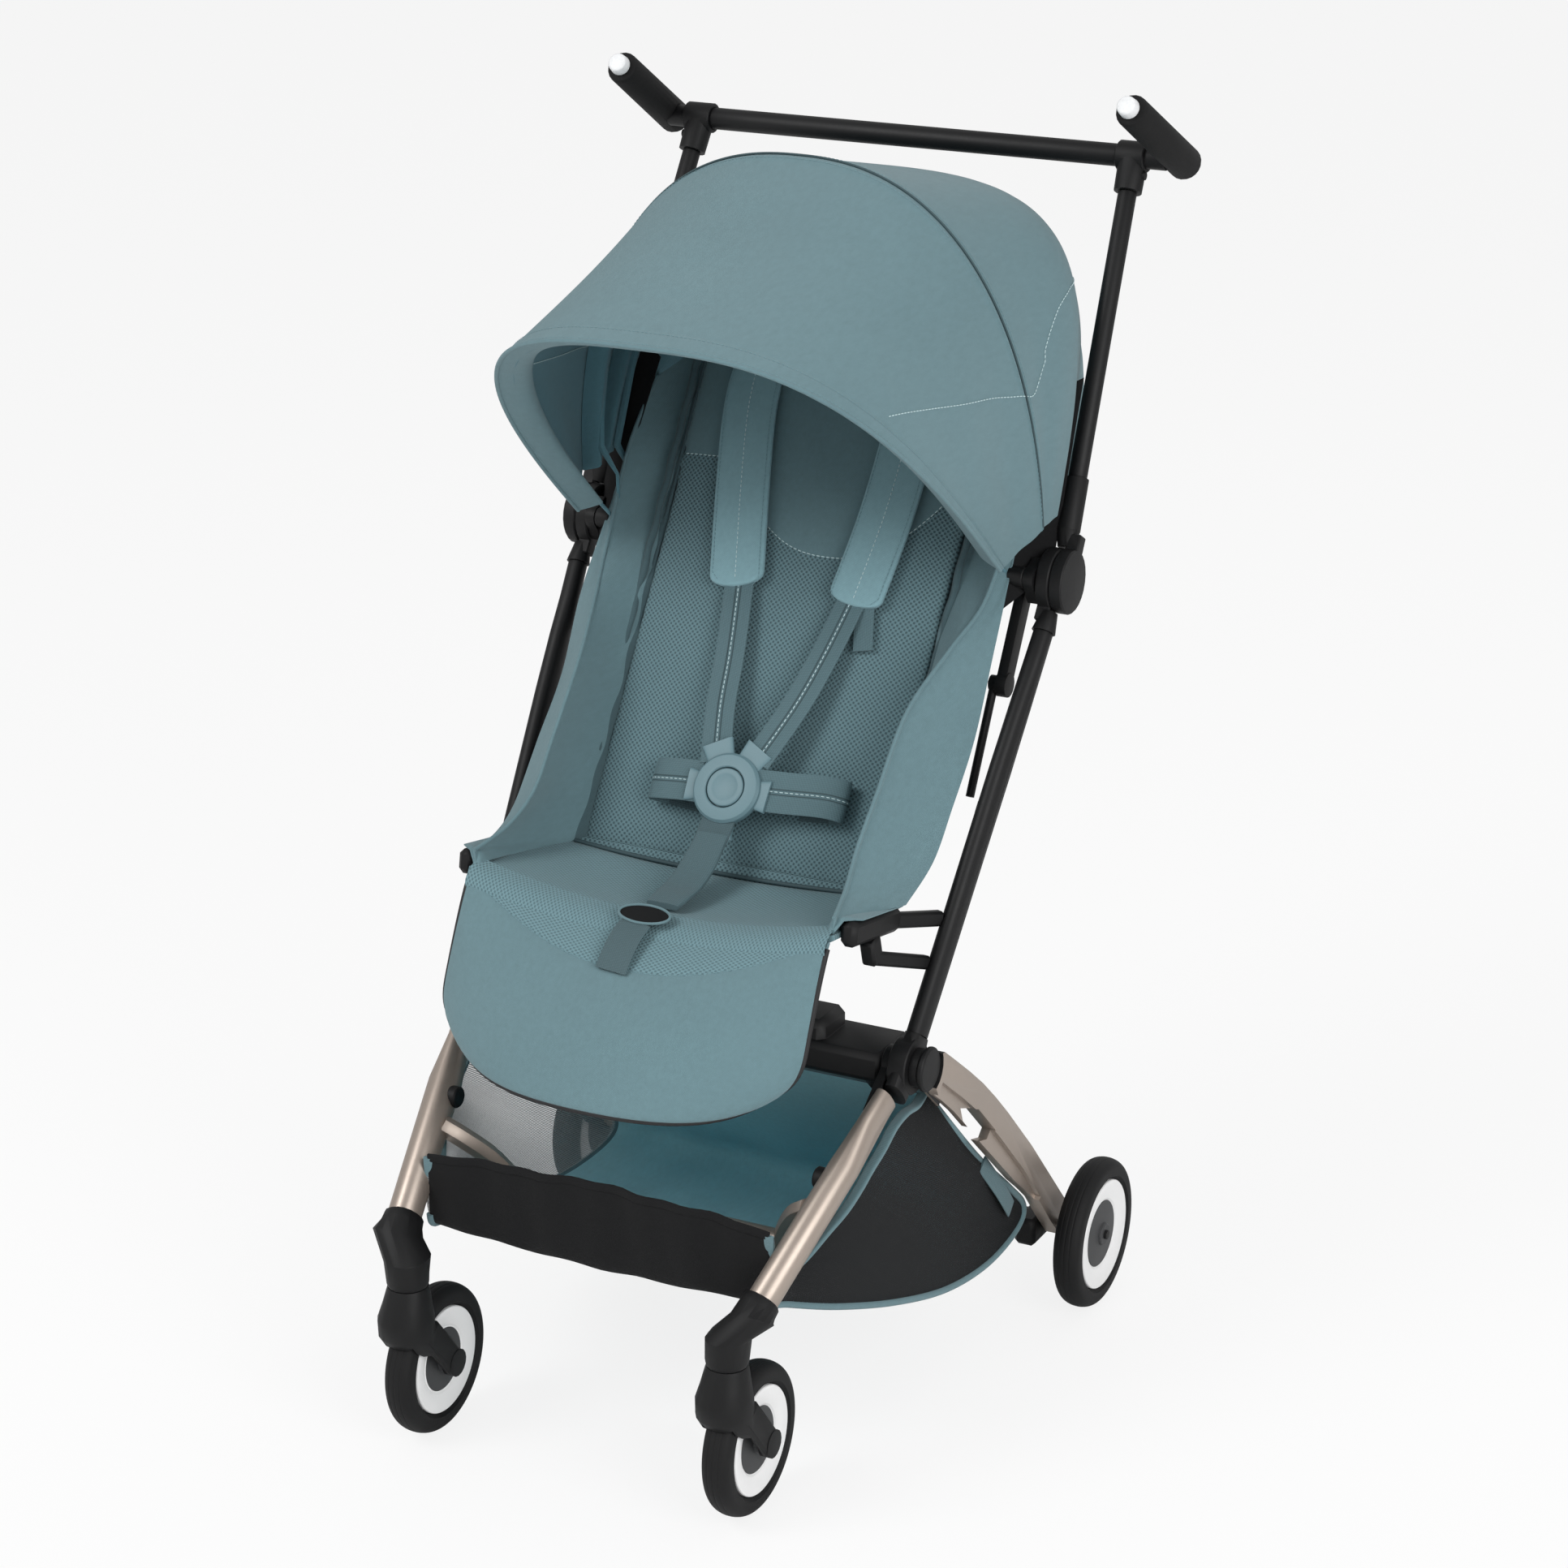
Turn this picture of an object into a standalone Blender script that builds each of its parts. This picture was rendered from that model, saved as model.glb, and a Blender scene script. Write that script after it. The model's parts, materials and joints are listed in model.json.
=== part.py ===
"""Compact stroller: two folding side frames, castered front legs, moulded rear legs, seat, canopy and basket.

Metres, +Z up. The front is -Y, the child's left is +X, and the floor is z = 0.
The side frame is worked out for +X and mirrored to -X.
"""

import math

import bmesh
import bpy
import numpy as np
from mathutils import Matrix, Vector

# Main points of the side frame, on +X
KNUCKLE = Vector((0.2144, 0.1086, 0.6500))
HUB = Vector((0.1944, -0.1227, 0.3181))
POST_TOP = Vector((0.1984, 0.2727, 0.9446))
LEG_FOOT = Vector((0.1585, -0.2987, 0.1869))
SWIVEL = (0.1415, -0.3232)
BOW_PIVOT = Vector((0.0, 0.0880, 0.6550))

# Wheels
FRONT_R = 0.0612
REAR_R = 0.0647
TYRE_DEPTH = 0.0150
FRONT_RING_R = FRONT_R - TYRE_DEPTH
REAR_RING_R = REAR_R - TYRE_DEPTH
TYRE_HALF = 0.0120
RING_PROUD = 0.0130
TRAIL = 0.0350
SPLIT_Z = 0.1417
REAR_HUB = (0.2430, 0.1498)
AXLE_R = 0.0040

# Tubes and fittings
GAP = 0.0003
POST_R = 0.0077
BAR_R = 0.00925
GRIP_R = 0.0140
GRIP_CAP_R = 0.00875
DRUM_R = 0.0260
DRUM_X = (0.2034, 0.2149, 0.2152, 0.2264)
SHAFT_R = 0.0067
HOUSING_R = 0.0225
HOUSING_X = (0.1865, 0.2020)
HUB_PIN_R = 0.0050
HUB_CAP_R = 0.0180
LEG_DEPTH = 0.0280
LEG_WIDTH = 0.0160
SOCKET_R = 0.0170
LEVER_END = Vector((0.1870, 0.0650, 0.5720))
ROD_END = Vector((0.1790, 0.0210, 0.4900))
ROD_R = 0.0035
BRACE_R = 0.0085
AXLE_BAR_R = 0.0090

# Seat, backrest and leg rest
SEAT_BACK = (-0.0635, 0.4225)
BACK_ANGLE = math.radians(57.0)
BACK_LENGTH = 0.470
BACK_HALF = 0.132
SEAT_HALF = 0.161
SEAT_FRONT = (-0.1860, 0.4370)
REST_HALF = SEAT_HALF - 0.003
RAIL_X = SEAT_HALF + 0.008

# Canopy bows, as angles up from +Y about the pivot line
FRONT_ANGLE = 140.8
MID_ANGLE = 93.1
REAR_ANGLE = 66.0
BOW_REACH = 0.1935
CLOTH = 0.0012
BOW_R = 0.0035
PIN_R = 0.0028
COLLAR_R = 0.0048

SIDES = 16
BLACK = (0.012, 0.012, 0.013, 1)
CHAMPAGNE = (0.47, 0.40, 0.35, 1)
TEAL = (0.155, 0.255, 0.285, 1)
WHITE = (0.85, 0.85, 0.85, 1)
RUBBER = (0.02, 0.02, 0.02, 1)

for old in list(bpy.data.objects):
    bpy.data.objects.remove(old, do_unlink=True)
shown = bpy.data.collections.new("compact_stroller")
tools = bpy.data.collections.new("cutters")
bpy.context.scene.collection.children.link(shown)
bpy.context.scene.collection.children.link(tools)


def material(name, colour, rough, metal):
    made = bpy.data.materials.new(name)
    made.use_nodes = True
    shader = made.node_tree.nodes["Principled BSDF"]
    shader.inputs["Base Color"].default_value = colour
    shader.inputs["Roughness"].default_value = rough
    shader.inputs["Metallic"].default_value = metal
    return made


def to_object(name, bm, pivot, side, collection):
    """Turns a bmesh in world space into an object whose origin is the pivot, mirrored when side is -1."""
    if side < 0:
        bmesh.ops.scale(bm, vec=(-1, 1, 1), verts=bm.verts)
        bmesh.ops.reverse_faces(bm, faces=bm.faces)
    at = Vector((pivot[0] * side, pivot[1], pivot[2]))
    bmesh.ops.translate(bm, vec=-at, verts=bm.verts)
    mesh = bpy.data.meshes.new(name)
    bm.to_mesh(mesh)
    bm.free()
    made = bpy.data.objects.new(name, mesh)
    made.location = at
    collection.objects.link(made)
    return made


def node(name, base, look, pivot=(0, 0, 0), ops=(), side=1, shell=0.0, shade=True):
    """One node: a base shape, then Booleans with named helpers, or a solidified sheet."""
    colour, rough, metal = look
    made = to_object(name, base(), pivot, side, shown)
    for index, (kind, helper) in enumerate(ops):
        tool = to_object(f"{name}_{kind.lower()}_{index}", helper(), pivot, side, tools)
        tool.hide_render = True
        tool.display_type = "WIRE"
        step = made.modifiers.new(f"{kind.lower()}_{index}", "BOOLEAN")
        step.operation = kind
        step.solver = "EXACT"
        step.object = tool
    if shell:
        wall = made.modifiers.new("thickness", "SOLIDIFY")
        wall.thickness = shell
        wall.offset = -1.0
        wall.use_rim = True
    made.data.materials.append(material(name, colour, rough, metal))
    if shade and not ops:
        made.data.shade_smooth()
        made.data.set_sharp_from_angle(angle=math.radians(38))
    return made


def pair(name, base, look, pivot=(0, 0, 0), ops=(), shell=0.0):
    """The same node on both sides."""
    for letter, side in (("r", 1), ("l", -1)):
        node(f"{name}_{letter}", base, look, pivot, ops, side, shell)


# Shape makers. Each gives back a new bmesh in world space.


def rod(start, end, radius, radius_end=None, sides=SIDES):
    start, end = Vector(start), Vector(end)
    bm = bmesh.new()
    along = end - start
    turn = along.to_track_quat("Z", "Y").to_matrix().to_4x4()
    place = Matrix.Translation((start + end) / 2) @ turn
    last = radius if radius_end is None else radius_end
    bmesh.ops.create_cone(
        bm, cap_ends=True, segments=sides, radius1=radius, radius2=last, depth=along.length, matrix=place
    )
    return bm


def disc(x0, x1, y, z, radius, sides=24, edge=0.0):
    """A round disc about a line along X, with its outer edges eased."""
    bm = rod((x0, y, z), (x1, y, z), radius, sides=sides)
    if edge:
        rims = [e for e in bm.edges if abs(e.verts[0].co.x - e.verts[1].co.x) < 1e-6]
        bmesh.ops.bevel(bm, geom=rims, offset=edge, segments=1, affect="EDGES", profile=0.5)
    return bm


def block(low, high, edge=0.0, turn=0.0):
    """A box between two corners, eased, and turned about X through its middle."""
    low, high = Vector(low), Vector(high)
    bm = bmesh.new()
    middle = (low + high) / 2
    size = high - low
    place = Matrix.Translation(middle) @ Matrix.Rotation(turn, 4, "X") @ Matrix.Diagonal((*size, 1))
    bmesh.ops.create_cube(bm, size=1.0, matrix=place)
    if edge:
        bmesh.ops.bevel(bm, geom=bm.edges[:], offset=edge, segments=1, affect="EDGES", profile=0.5)
    return bm


def link(start, end, depth, width, edge=0.0, extra=0.0):
    """A flat bar between two points: depth in the side view, width along X."""
    start, end = Vector(start), Vector(end)
    along = end - start
    half = along.length / 2 + extra
    turn = math.atan2(along.z, along.y)
    lean = -math.asin(max(-1, min(1, along.x / along.length)))
    bm = bmesh.new()
    place = (
        Matrix.Translation((start + end) / 2)
        @ Matrix.Rotation(turn, 4, "X")
        @ Matrix.Rotation(lean, 4, "Z")
        @ Matrix.Diagonal((width, half * 2, depth, 1))
    )
    bmesh.ops.create_cube(bm, size=1.0, matrix=place)
    if edge:
        bmesh.ops.bevel(bm, geom=bm.edges[:], offset=edge, segments=1, affect="EDGES", profile=0.5)
    return bm


def from_curve(curve, matrix=Matrix.Identity(4)):
    """Turns a curve into a closed mesh, its caps welded."""
    holder = bpy.data.objects.new("curve_holder", curve)
    tools.objects.link(holder)
    bpy.context.view_layer.update()
    graph = bpy.context.evaluated_depsgraph_get()
    mesh = bpy.data.meshes.new_from_object(holder.evaluated_get(graph))
    bpy.data.objects.remove(holder, do_unlink=True)
    bm = bmesh.new()
    bm.from_mesh(mesh)
    bpy.data.meshes.remove(mesh)
    bmesh.ops.transform(bm, matrix=matrix, verts=bm.verts)
    bmesh.ops.remove_doubles(bm, verts=bm.verts, dist=1e-5)
    bmesh.ops.recalc_face_normals(bm, faces=bm.faces)
    return bm


def pipe(points, radius, radii=None, fine=2):
    """A bevelled curve with filled caps."""
    curve = bpy.data.curves.new("pipe", "CURVE")
    curve.dimensions = "3D"
    curve.bevel_depth = radius
    curve.bevel_resolution = fine
    curve.use_fill_caps = True
    spline = curve.splines.new("POLY")
    spline.points.add(len(points) - 1)
    for index, point in enumerate(points):
        spline.points[index].co = (*point, 1)
        spline.points[index].radius = 1.0 if radii is None else radii[index]
    return from_curve(curve)


def plate(outline, x0, x1, holes=(), edge=0.0):
    """A side view outline in (y, z), filled and given its thickness along X."""
    curve = bpy.data.curves.new("plate", "CURVE")
    curve.dimensions = "2D"
    curve.fill_mode = "BOTH"
    curve.extrude = (x1 - x0) / 2 - edge
    curve.bevel_depth = edge
    curve.bevel_resolution = 1 if edge else 0
    curve.offset = -edge
    for path in (outline, *holes):
        spline = curve.splines.new("POLY")
        spline.points.add(len(path) - 1)
        for index, (y, z) in enumerate(path):
            spline.points[index].co = (y, z, 0, 1)
        spline.use_cyclic_u = True
    upright = Matrix(((0, 0, 1, (x0 + x1) / 2), (1, 0, 0, 0), (0, 1, 0, 0), (0, 0, 0, 1)))
    return from_curve(curve, upright)


def lathe(profile, centre, sides=24):
    """A closed profile of (radius, x) points, turned about the line along X through the centre."""
    bm = bmesh.new()
    cx, cy, cz = centre
    ring = [bm.verts.new((cx + x, cy, cz + r)) for r, x in profile]
    edges = [bm.edges.new((ring[i], ring[(i + 1) % len(ring)])) for i in range(len(ring))]
    bmesh.ops.spin(
        bm, geom=ring + edges, cent=centre, axis=(1, 0, 0), angle=math.tau, steps=sides, use_merge=True
    )
    bmesh.ops.remove_doubles(bm, verts=bm.verts, dist=1e-6)
    bmesh.ops.recalc_face_normals(bm, faces=bm.faces)
    return bm


def oval(centre, wide, deep, half_wide, half_deep, power=2.0, sides=SIDES):
    """A ring of points about a centre, along two given directions."""
    centre, wide, deep = Vector(centre), Vector(wide), Vector(deep)
    ring = []
    for step in range(sides):
        angle = math.tau * step / sides
        c, s = math.cos(angle), math.sin(angle)
        a = math.copysign(abs(c) ** (2 / power), c) * half_wide
        b = math.copysign(abs(s) ** (2 / power), s) * half_deep
        ring.append(centre + wide * a + deep * b)
    return ring


def loft(rings):
    """A closed skin through rings of equal length, capped at both ends."""
    bm = bmesh.new()
    rows = [[bm.verts.new(p) for p in ring] for ring in rings]
    count = len(rings[0])
    for low, high in zip(rows, rows[1:]):
        for i in range(count):
            bm.faces.new((low[i], low[(i + 1) % count], high[(i + 1) % count], high[i]))
    bm.faces.new(rows[0][::-1])
    bm.faces.new(rows[-1])
    bmesh.ops.recalc_face_normals(bm, faces=bm.faces)
    return bm


def grid(surface, across, along):
    """An open sheet from a function of two values in 0..1."""
    bm = bmesh.new()
    rows = []
    for j in range(along + 1):
        rows.append([bm.verts.new(surface(i / across, j / along)) for i in range(across + 1)])
    for low, high in zip(rows, rows[1:]):
        for i in range(across):
            bm.faces.new((low[i], low[i + 1], high[i + 1], high[i]))
    return bm


def cushion(surface, front, back, across, along):
    """A closed soft part: a middle surface with its own thickness to the front and to the back."""
    step = 1e-3
    tops, backs = [], []
    for j in range(along + 1):
        for i in range(across + 1):
            u, v = i / across, j / along
            du = Vector(surface(min(u + step, 1), v)) - Vector(surface(max(u - step, 0), v))
            dv = Vector(surface(u, min(v + step, 1))) - Vector(surface(u, max(v - step, 0)))
            normal = du.cross(dv).normalized()
            middle = Vector(surface(u, v))
            tops.append(middle + normal * front(u, v))
            backs.append(middle - normal * back(u, v))
    bm = bmesh.new()
    wide = across + 1
    top = [bm.verts.new(p) for p in tops]
    low = [bm.verts.new(p) for p in backs]
    for j in range(along):
        for i in range(across):
            a, b = j * wide + i, j * wide + i + 1
            c, d = b + wide, a + wide
            bm.faces.new((top[a], top[b], top[c], top[d]))
            bm.faces.new((low[d], low[c], low[b], low[a]))
    rim = [i for i in range(wide)]
    rim += [j * wide + across for j in range(1, along + 1)]
    rim += [along * wide + i for i in range(across - 1, -1, -1)]
    rim += [j * wide for j in range(along - 1, 0, -1)]
    for a, b in zip(rim, rim[1:] + rim[:1]):
        bm.faces.new((top[b], top[a], low[a], low[b]))
    bmesh.ops.recalc_face_normals(bm, faces=bm.faces)
    return bm


def joined(*shapes):
    """Several bmeshes in one, not yet united."""
    first = shapes[0]
    for other in shapes[1:]:
        mesh = bpy.data.meshes.new("joined")
        other.to_mesh(mesh)
        other.free()
        first.from_mesh(mesh)
        bpy.data.meshes.remove(mesh)
    return first


def smooth(points, count):
    """Points spread along a soft curve through the given ones."""
    points = [np.array(p, float) for p in points]
    ends = [2 * points[0] - points[1]] + points + [2 * points[-1] - points[-2]]
    out = []
    spans = len(points) - 1
    for k in range(count + 1):
        place = k / count * spans
        i = min(int(place), spans - 1)
        t = place - i
        a, b, c, d = ends[i : i + 4]
        out.append(
            0.5 * (2 * b + (c - a) * t + (2 * a - 5 * b + 4 * c - d) * t * t + (3 * b - a - 3 * c + d) * t**3)
        )
    return out


def polar(centre, radius, angle, x):
    """A point at a radius and an angle (degrees up from +Y) about a line along X."""
    turn = math.radians(angle)
    return Vector((x, centre[1] + radius * math.cos(turn), centre[2] + radius * math.sin(turn)))


black = (BLACK, 0.55, 0.0)
satin = (CHAMPAGNE, 0.38, 0.85)
cloth = (TEAL, 0.9, 0.0)
rubber = (RUBBER, 0.8, 0.0)
white = (WHITE, 0.45, 0.0)
mesh_cloth = (BLACK, 0.9, 0.0)

post_way = (POST_TOP - KNUCKLE).normalized()
post_length = (POST_TOP - KNUCKLE).length
down_way = (HUB - KNUCKLE).normalized()
frame_length = (HUB - KNUCKLE).length
leg_way = (LEG_FOOT - HUB).normalized()
leg_length = (LEG_FOOT - HUB).length
side_x = Vector((1, 0, 0))


def across_of(way):
    """The side direction square to a tube, and the one square to both."""
    wide = (side_x - way * way.x).normalized()
    return wide, way.cross(wide).normalized()


# Side uprights, from the knuckle socket to the hub housing
def upright():
    wide, deep = across_of(down_way)
    rings = []
    for along, half_wide, half_deep in (
        (0.0443, 0.0078, 0.0080),
        (0.0750, 0.0078, 0.0085),
        (0.1100, 0.0080, 0.0110),
        (0.1600, 0.0080, 0.0125),
        (0.3300, 0.0080, 0.0125),
        (frame_length - HOUSING_R - 0.0020, 0.0077, 0.0118),
    ):
        rings.append(oval(KNUCKLE + down_way * along, wide, deep, half_wide, half_deep, 2.3))
    return loft(rings)


def lug():
    place = KNUCKLE + down_way * 0.193
    return link((0.1975, place.y, place.z), (0.1965, ROD_END.y - 0.006, ROD_END.z - 0.012), 0.012, 0.006, 0.001)


pair("upright", upright, black, ops=[("UNION", lug)])


# Knuckle on the upright: inner half drum, lower socket and canopy bracket
def half_drum(x0, x1):
    return disc(x0, x1, KNUCKLE.y, KNUCKLE.z, DRUM_R, 24, 0.0012)


def lower_socket():
    return rod(KNUCKLE + down_way * 0.0272, KNUCKLE + down_way * 0.0440, 0.0068, 0.0098)


def lower_web():
    a, b = KNUCKLE + down_way * 0.015, KNUCKLE + down_way * 0.036
    x = (DRUM_X[0] + DRUM_X[1]) / 2
    return link((x, a.y, a.z), (x, b.y, b.z), 0.0125, DRUM_X[1] - DRUM_X[0], 0.001)


def shaft_bore():
    return disc(0.1900, 0.2200, KNUCKLE.y, KNUCKLE.z, SHAFT_R + GAP, 12)


pair(
    "knuckle",
    lambda: half_drum(DRUM_X[0], DRUM_X[1]),
    black,
    KNUCKLE,
    [("UNION", lower_socket), ("UNION", lower_web), ("DIFFERENCE", shaft_bore)],
)


# Post drum on the push bar: outer half drum, sleeve, shaft and fold lever
def post_sleeve():
    return joined(
        rod(KNUCKLE + post_way * 0.0272, KNUCKLE + post_way * 0.0420, 0.0066, 0.0097),
    )


def long_sleeve():
    return rod(KNUCKLE + post_way * 0.0410, KNUCKLE + post_way * 0.0840, 0.0097, 0.0095)


def upper_web():
    a, b = KNUCKLE + post_way * 0.015, KNUCKLE + post_way * 0.038
    x = (DRUM_X[2] + DRUM_X[3]) / 2
    return link((x, a.y, a.z), (x, b.y, b.z), 0.0125, DRUM_X[3] - DRUM_X[2], 0.001)


def shaft():
    return disc(0.1830, DRUM_X[2] + 0.002, KNUCKLE.y, KNUCKLE.z, SHAFT_R, 12)


def bracket():
    """The canopy bracket on the shaft, inboard of the upright's half drum."""
    outline = [tuple(polar(KNUCKLE, 0.0105, a, 0).yz) for a in (60, 20, -20, -60, -100)]
    outline += [tuple(polar(KNUCKLE, 0.0235, a, 0).yz) for a in (225, 210, 195)]
    outline += [tuple(polar(BOW_PIVOT, 0.0085, a, 0).yz) for a in (215, 180, 145, 110)]
    outline += [tuple(polar(KNUCKLE, 0.0215, a, 0).yz) for a in (135, 115)]
    return plate(outline, 0.1945, DRUM_X[0] - GAP)


def bow_pin():
    return disc(0.1670, 0.1960, BOW_PIVOT.y, BOW_PIVOT.z, PIN_R, 12)


def lever():
    a = Vector((LEVER_END.x, KNUCKLE.y, KNUCKLE.z))
    return link(a, LEVER_END, 0.0155, 0.0082, 0.0, 0.004)


def lever_boss():
    return disc(LEVER_END.x - 0.0041, LEVER_END.x + 0.0050, LEVER_END.y, LEVER_END.z, 0.0100, 16)


def lever_pin():
    return disc(ROD_END.x - 0.0048, LEVER_END.x, LEVER_END.y, LEVER_END.z, 0.0025, 12)


pair(
    "post_drum",
    lambda: half_drum(DRUM_X[2], DRUM_X[3]),
    black,
    KNUCKLE,
    [
        ("UNION", post_sleeve),
        ("UNION", long_sleeve),
        ("UNION", upper_web),
        ("UNION", shaft),
        ("UNION", bracket),
        ("UNION", bow_pin),
        ("UNION", lever),
        ("UNION", lever_boss),
        ("UNION", lever_pin),
    ],
)


# Push bar: posts, crossbar with its fittings, grips
pair(
    "upper_post",
    lambda: rod(KNUCKLE + post_way * 0.0843, POST_TOP - post_way * 0.0150, POST_R),
    black,
    KNUCKLE,
)
bar_centre = KNUCKLE + post_way * (post_length + 0.0154)


def fitting():
    return rod(POST_TOP - post_way * 0.0147, POST_TOP + post_way * 0.0120, 0.0115, 0.0120)


def fitting_sleeve():
    return disc(bar_centre.x - 0.0125, bar_centre.x + 0.0125, bar_centre.y, bar_centre.z, 0.0126, 20, 0.001)


def bar_bore():
    return disc(0.10, 0.30, bar_centre.y, bar_centre.z, BAR_R + GAP, 20)


def rivet():
    return disc(POST_TOP.x, POST_TOP.x + 0.0130, POST_TOP.y, POST_TOP.z, 0.0035, 12)


pair("handle_fitting", fitting, black, KNUCKLE, [("UNION", fitting_sleeve), ("UNION", rivet), ("DIFFERENCE", bar_bore)])

grip_rear = Vector((0.2342, 0.2999, 0.9524))
grip_front = Vector((0.2269, 0.1902, 1.0142))
grip_way = (grip_front - grip_rear).normalized()
bar_end_x = grip_rear.x - 0.0075


def crossbar():
    return rod((-bar_end_x, bar_centre.y, bar_centre.z), (bar_end_x, bar_centre.y, bar_centre.z), BAR_R, sides=20)


node("crossbar", crossbar, black, KNUCKLE)


def grip():
    bm = rod(grip_rear - grip_way * 0.0040, grip_front - grip_way * 0.0060, GRIP_R, GRIP_R * 0.96, 20)
    rims = [e for e in bm.edges if len(e.link_faces) == 2 and any(len(f.verts) > 4 for f in e.link_faces)]
    bmesh.ops.bevel(bm, geom=rims, offset=0.004, segments=2, affect="EDGES", profile=0.5)
    return bm


def grip_cap():
    bm = rod(grip_front - grip_way * 0.0057, grip_front + grip_way * 0.0040, GRIP_CAP_R, GRIP_CAP_R * 0.9, 20)
    rims = [e for e in bm.edges if e.link_faces and any(len(f.verts) > 4 for f in e.link_faces)]
    bmesh.ops.bevel(bm, geom=rims, offset=0.0015, segments=2, affect="EDGES", profile=0.5)
    return bm


def grip_socket():
    return disc(0.15, bar_end_x + GAP, bar_centre.y, bar_centre.z, BAR_R + GAP, 20)


pair("grip", grip, rubber, KNUCKLE, [("DIFFERENCE", grip_socket)])
pair("grip_cap", grip_cap, white, KNUCKLE)

# Fold rods, hung from the levers
rod_top = Vector((ROD_END.x, LEVER_END.y, LEVER_END.z))


def fold_rod():
    way = (ROD_END - rod_top).normalized()
    return rod(rod_top + way * 0.004, ROD_END, ROD_R, sides=12)


def rod_eye():
    return disc(ROD_END.x - 0.0030, ROD_END.x + 0.0030, rod_top.y, rod_top.z, 0.0065, 16)


def rod_eye_bore():
    return disc(ROD_END.x - 0.0100, ROD_END.x + 0.0100, rod_top.y, rod_top.z, 0.0025 + GAP, 12)


pair("fold_rod", fold_rod, black, rod_top, [("UNION", rod_eye), ("DIFFERENCE", rod_eye_bore)])


# Hub housings and caps, with the pivot pins of both legs
def housing():
    return disc(HOUSING_X[0], HOUSING_X[1], HUB.y, HUB.z, HOUSING_R, 24, 0.0010)


def housing_neck():
    wide, deep = across_of(down_way)
    start = KNUCKLE + down_way * (frame_length - HOUSING_R - 0.0017)
    rings = [
        oval(start, wide, deep, 0.0080, 0.0135, 2.4),
        oval(HUB - down_way * 0.0080, wide, deep, 0.0080, 0.0185, 2.4),
    ]
    return loft(rings)


def hub_pin():
    return disc(0.1680, 0.2085, HUB.y, HUB.z, HUB_PIN_R, 16)


def outer_face():
    """Trims the housing's outer face flat, clear of the rear leg's eye."""
    return block((HOUSING_X[1], HUB.y - 0.06, HUB.z - 0.06), (HOUSING_X[1] + 0.05, HUB.y + 0.06, HUB.z + 0.06))


def housing_spur():
    flat_way = Vector((0, leg_way.y, leg_way.z)).normalized()
    wide, deep = across_of(flat_way)
    rings = [
        oval(HUB + flat_way * 0.0050, wide, deep, 0.0072, 0.0170, 2.6),
        oval(HUB + flat_way * 0.0272, wide, deep, 0.0076, 0.0145, 2.4),
    ]
    return loft(rings)


pair(
    "hub_housing",
    housing,
    black,
    HUB,
    [("UNION", housing_neck), ("UNION", housing_spur), ("DIFFERENCE", outer_face), ("UNION", hub_pin)],
)
pair("hub_cap", lambda: disc(0.2093, 0.2150, HUB.y, HUB.z, HUB_CAP_R, 28, 0.0015), black, HUB)


# Cross-member between the hubs
def cross_member():
    return block((-0.1772, HUB.y - 0.0120, HUB.z - 0.0170), (0.1772, HUB.y + 0.0460, HUB.z + 0.0080), 0.0050)


def cross_boss():
    return block((-0.1240, HUB.y - 0.0060, HUB.z - 0.0100), (0.1240, HUB.y + 0.0400, HUB.z + 0.0235), 0.0060)


def cross_end(side):
    return lambda: block(
        (side * 0.1615 - 0.0115, HUB.y + 0.0100, HUB.z - 0.0380),
        (side * 0.1615 + 0.0115, HUB.y + 0.0640, HUB.z + 0.0010),
        0.0080,
    )


def pin_bore(side):
    return lambda: rod((side * 0.1600, HUB.y, HUB.z), (side * 0.1900, HUB.y, HUB.z), HUB_PIN_R + GAP, sides=16)


node(
    "cross_member",
    cross_member,
    black,
    HUB * 0,
    [
        ("UNION", cross_boss),
        ("UNION", cross_end(1)),
        ("UNION", cross_end(-1)),
        ("DIFFERENCE", pin_bore(1)),
        ("DIFFERENCE", pin_bore(-1)),
    ],
)


# Front legs with their inner cheeks at the hub
leg_wide = (Matrix.Rotation(math.radians(-22), 3, leg_way) @ across_of(leg_way)[0]).normalized()
leg_deep = leg_way.cross(leg_wide).normalized()


def front_leg():
    plain_wide, plain_deep = across_of(leg_way)
    rings = [
        oval(HUB + leg_way * 0.0320 - side_x * 0.0008, plain_wide, plain_deep, 0.0072, 0.0140, 2.3),
        oval(HUB + leg_way * 0.0600 - side_x * 0.0008, plain_wide, plain_deep, 0.0076, 0.0140, 2.2),
        oval(HUB + leg_way * 0.1000, leg_wide, leg_deep, LEG_WIDTH / 2, LEG_DEPTH / 2, 2.2),
        oval(LEG_FOOT, leg_wide, leg_deep, LEG_WIDTH / 2, LEG_DEPTH / 2, 2.2),
    ]
    return loft(rings)


def cheek():
    return disc(0.1778, 0.1860, HUB.y, HUB.z, 0.0140, 24, 0.0008)


def cheek_arm():
    a = HUB + leg_way * 0.004
    b = HUB + leg_way * 0.052
    return link((0.1819, a.y, a.z), (0.1819, b.y, b.z), 0.0180, 0.0080, 0.001)


def cheek_bore():
    return disc(0.1700, 0.1950, HUB.y, HUB.z, HUB_PIN_R + GAP, 16)


pair("front_leg", front_leg, satin, HUB, [("UNION", cheek), ("UNION", cheek_arm), ("DIFFERENCE", cheek_bore)])


# Caster sockets at the feet of the front legs
swivel_top = Vector((SWIVEL[0], SWIVEL[1], SPLIT_Z))
floor_x = Vector((1, 0, 0))
floor_y = Vector((0, 1, 0))


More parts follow.
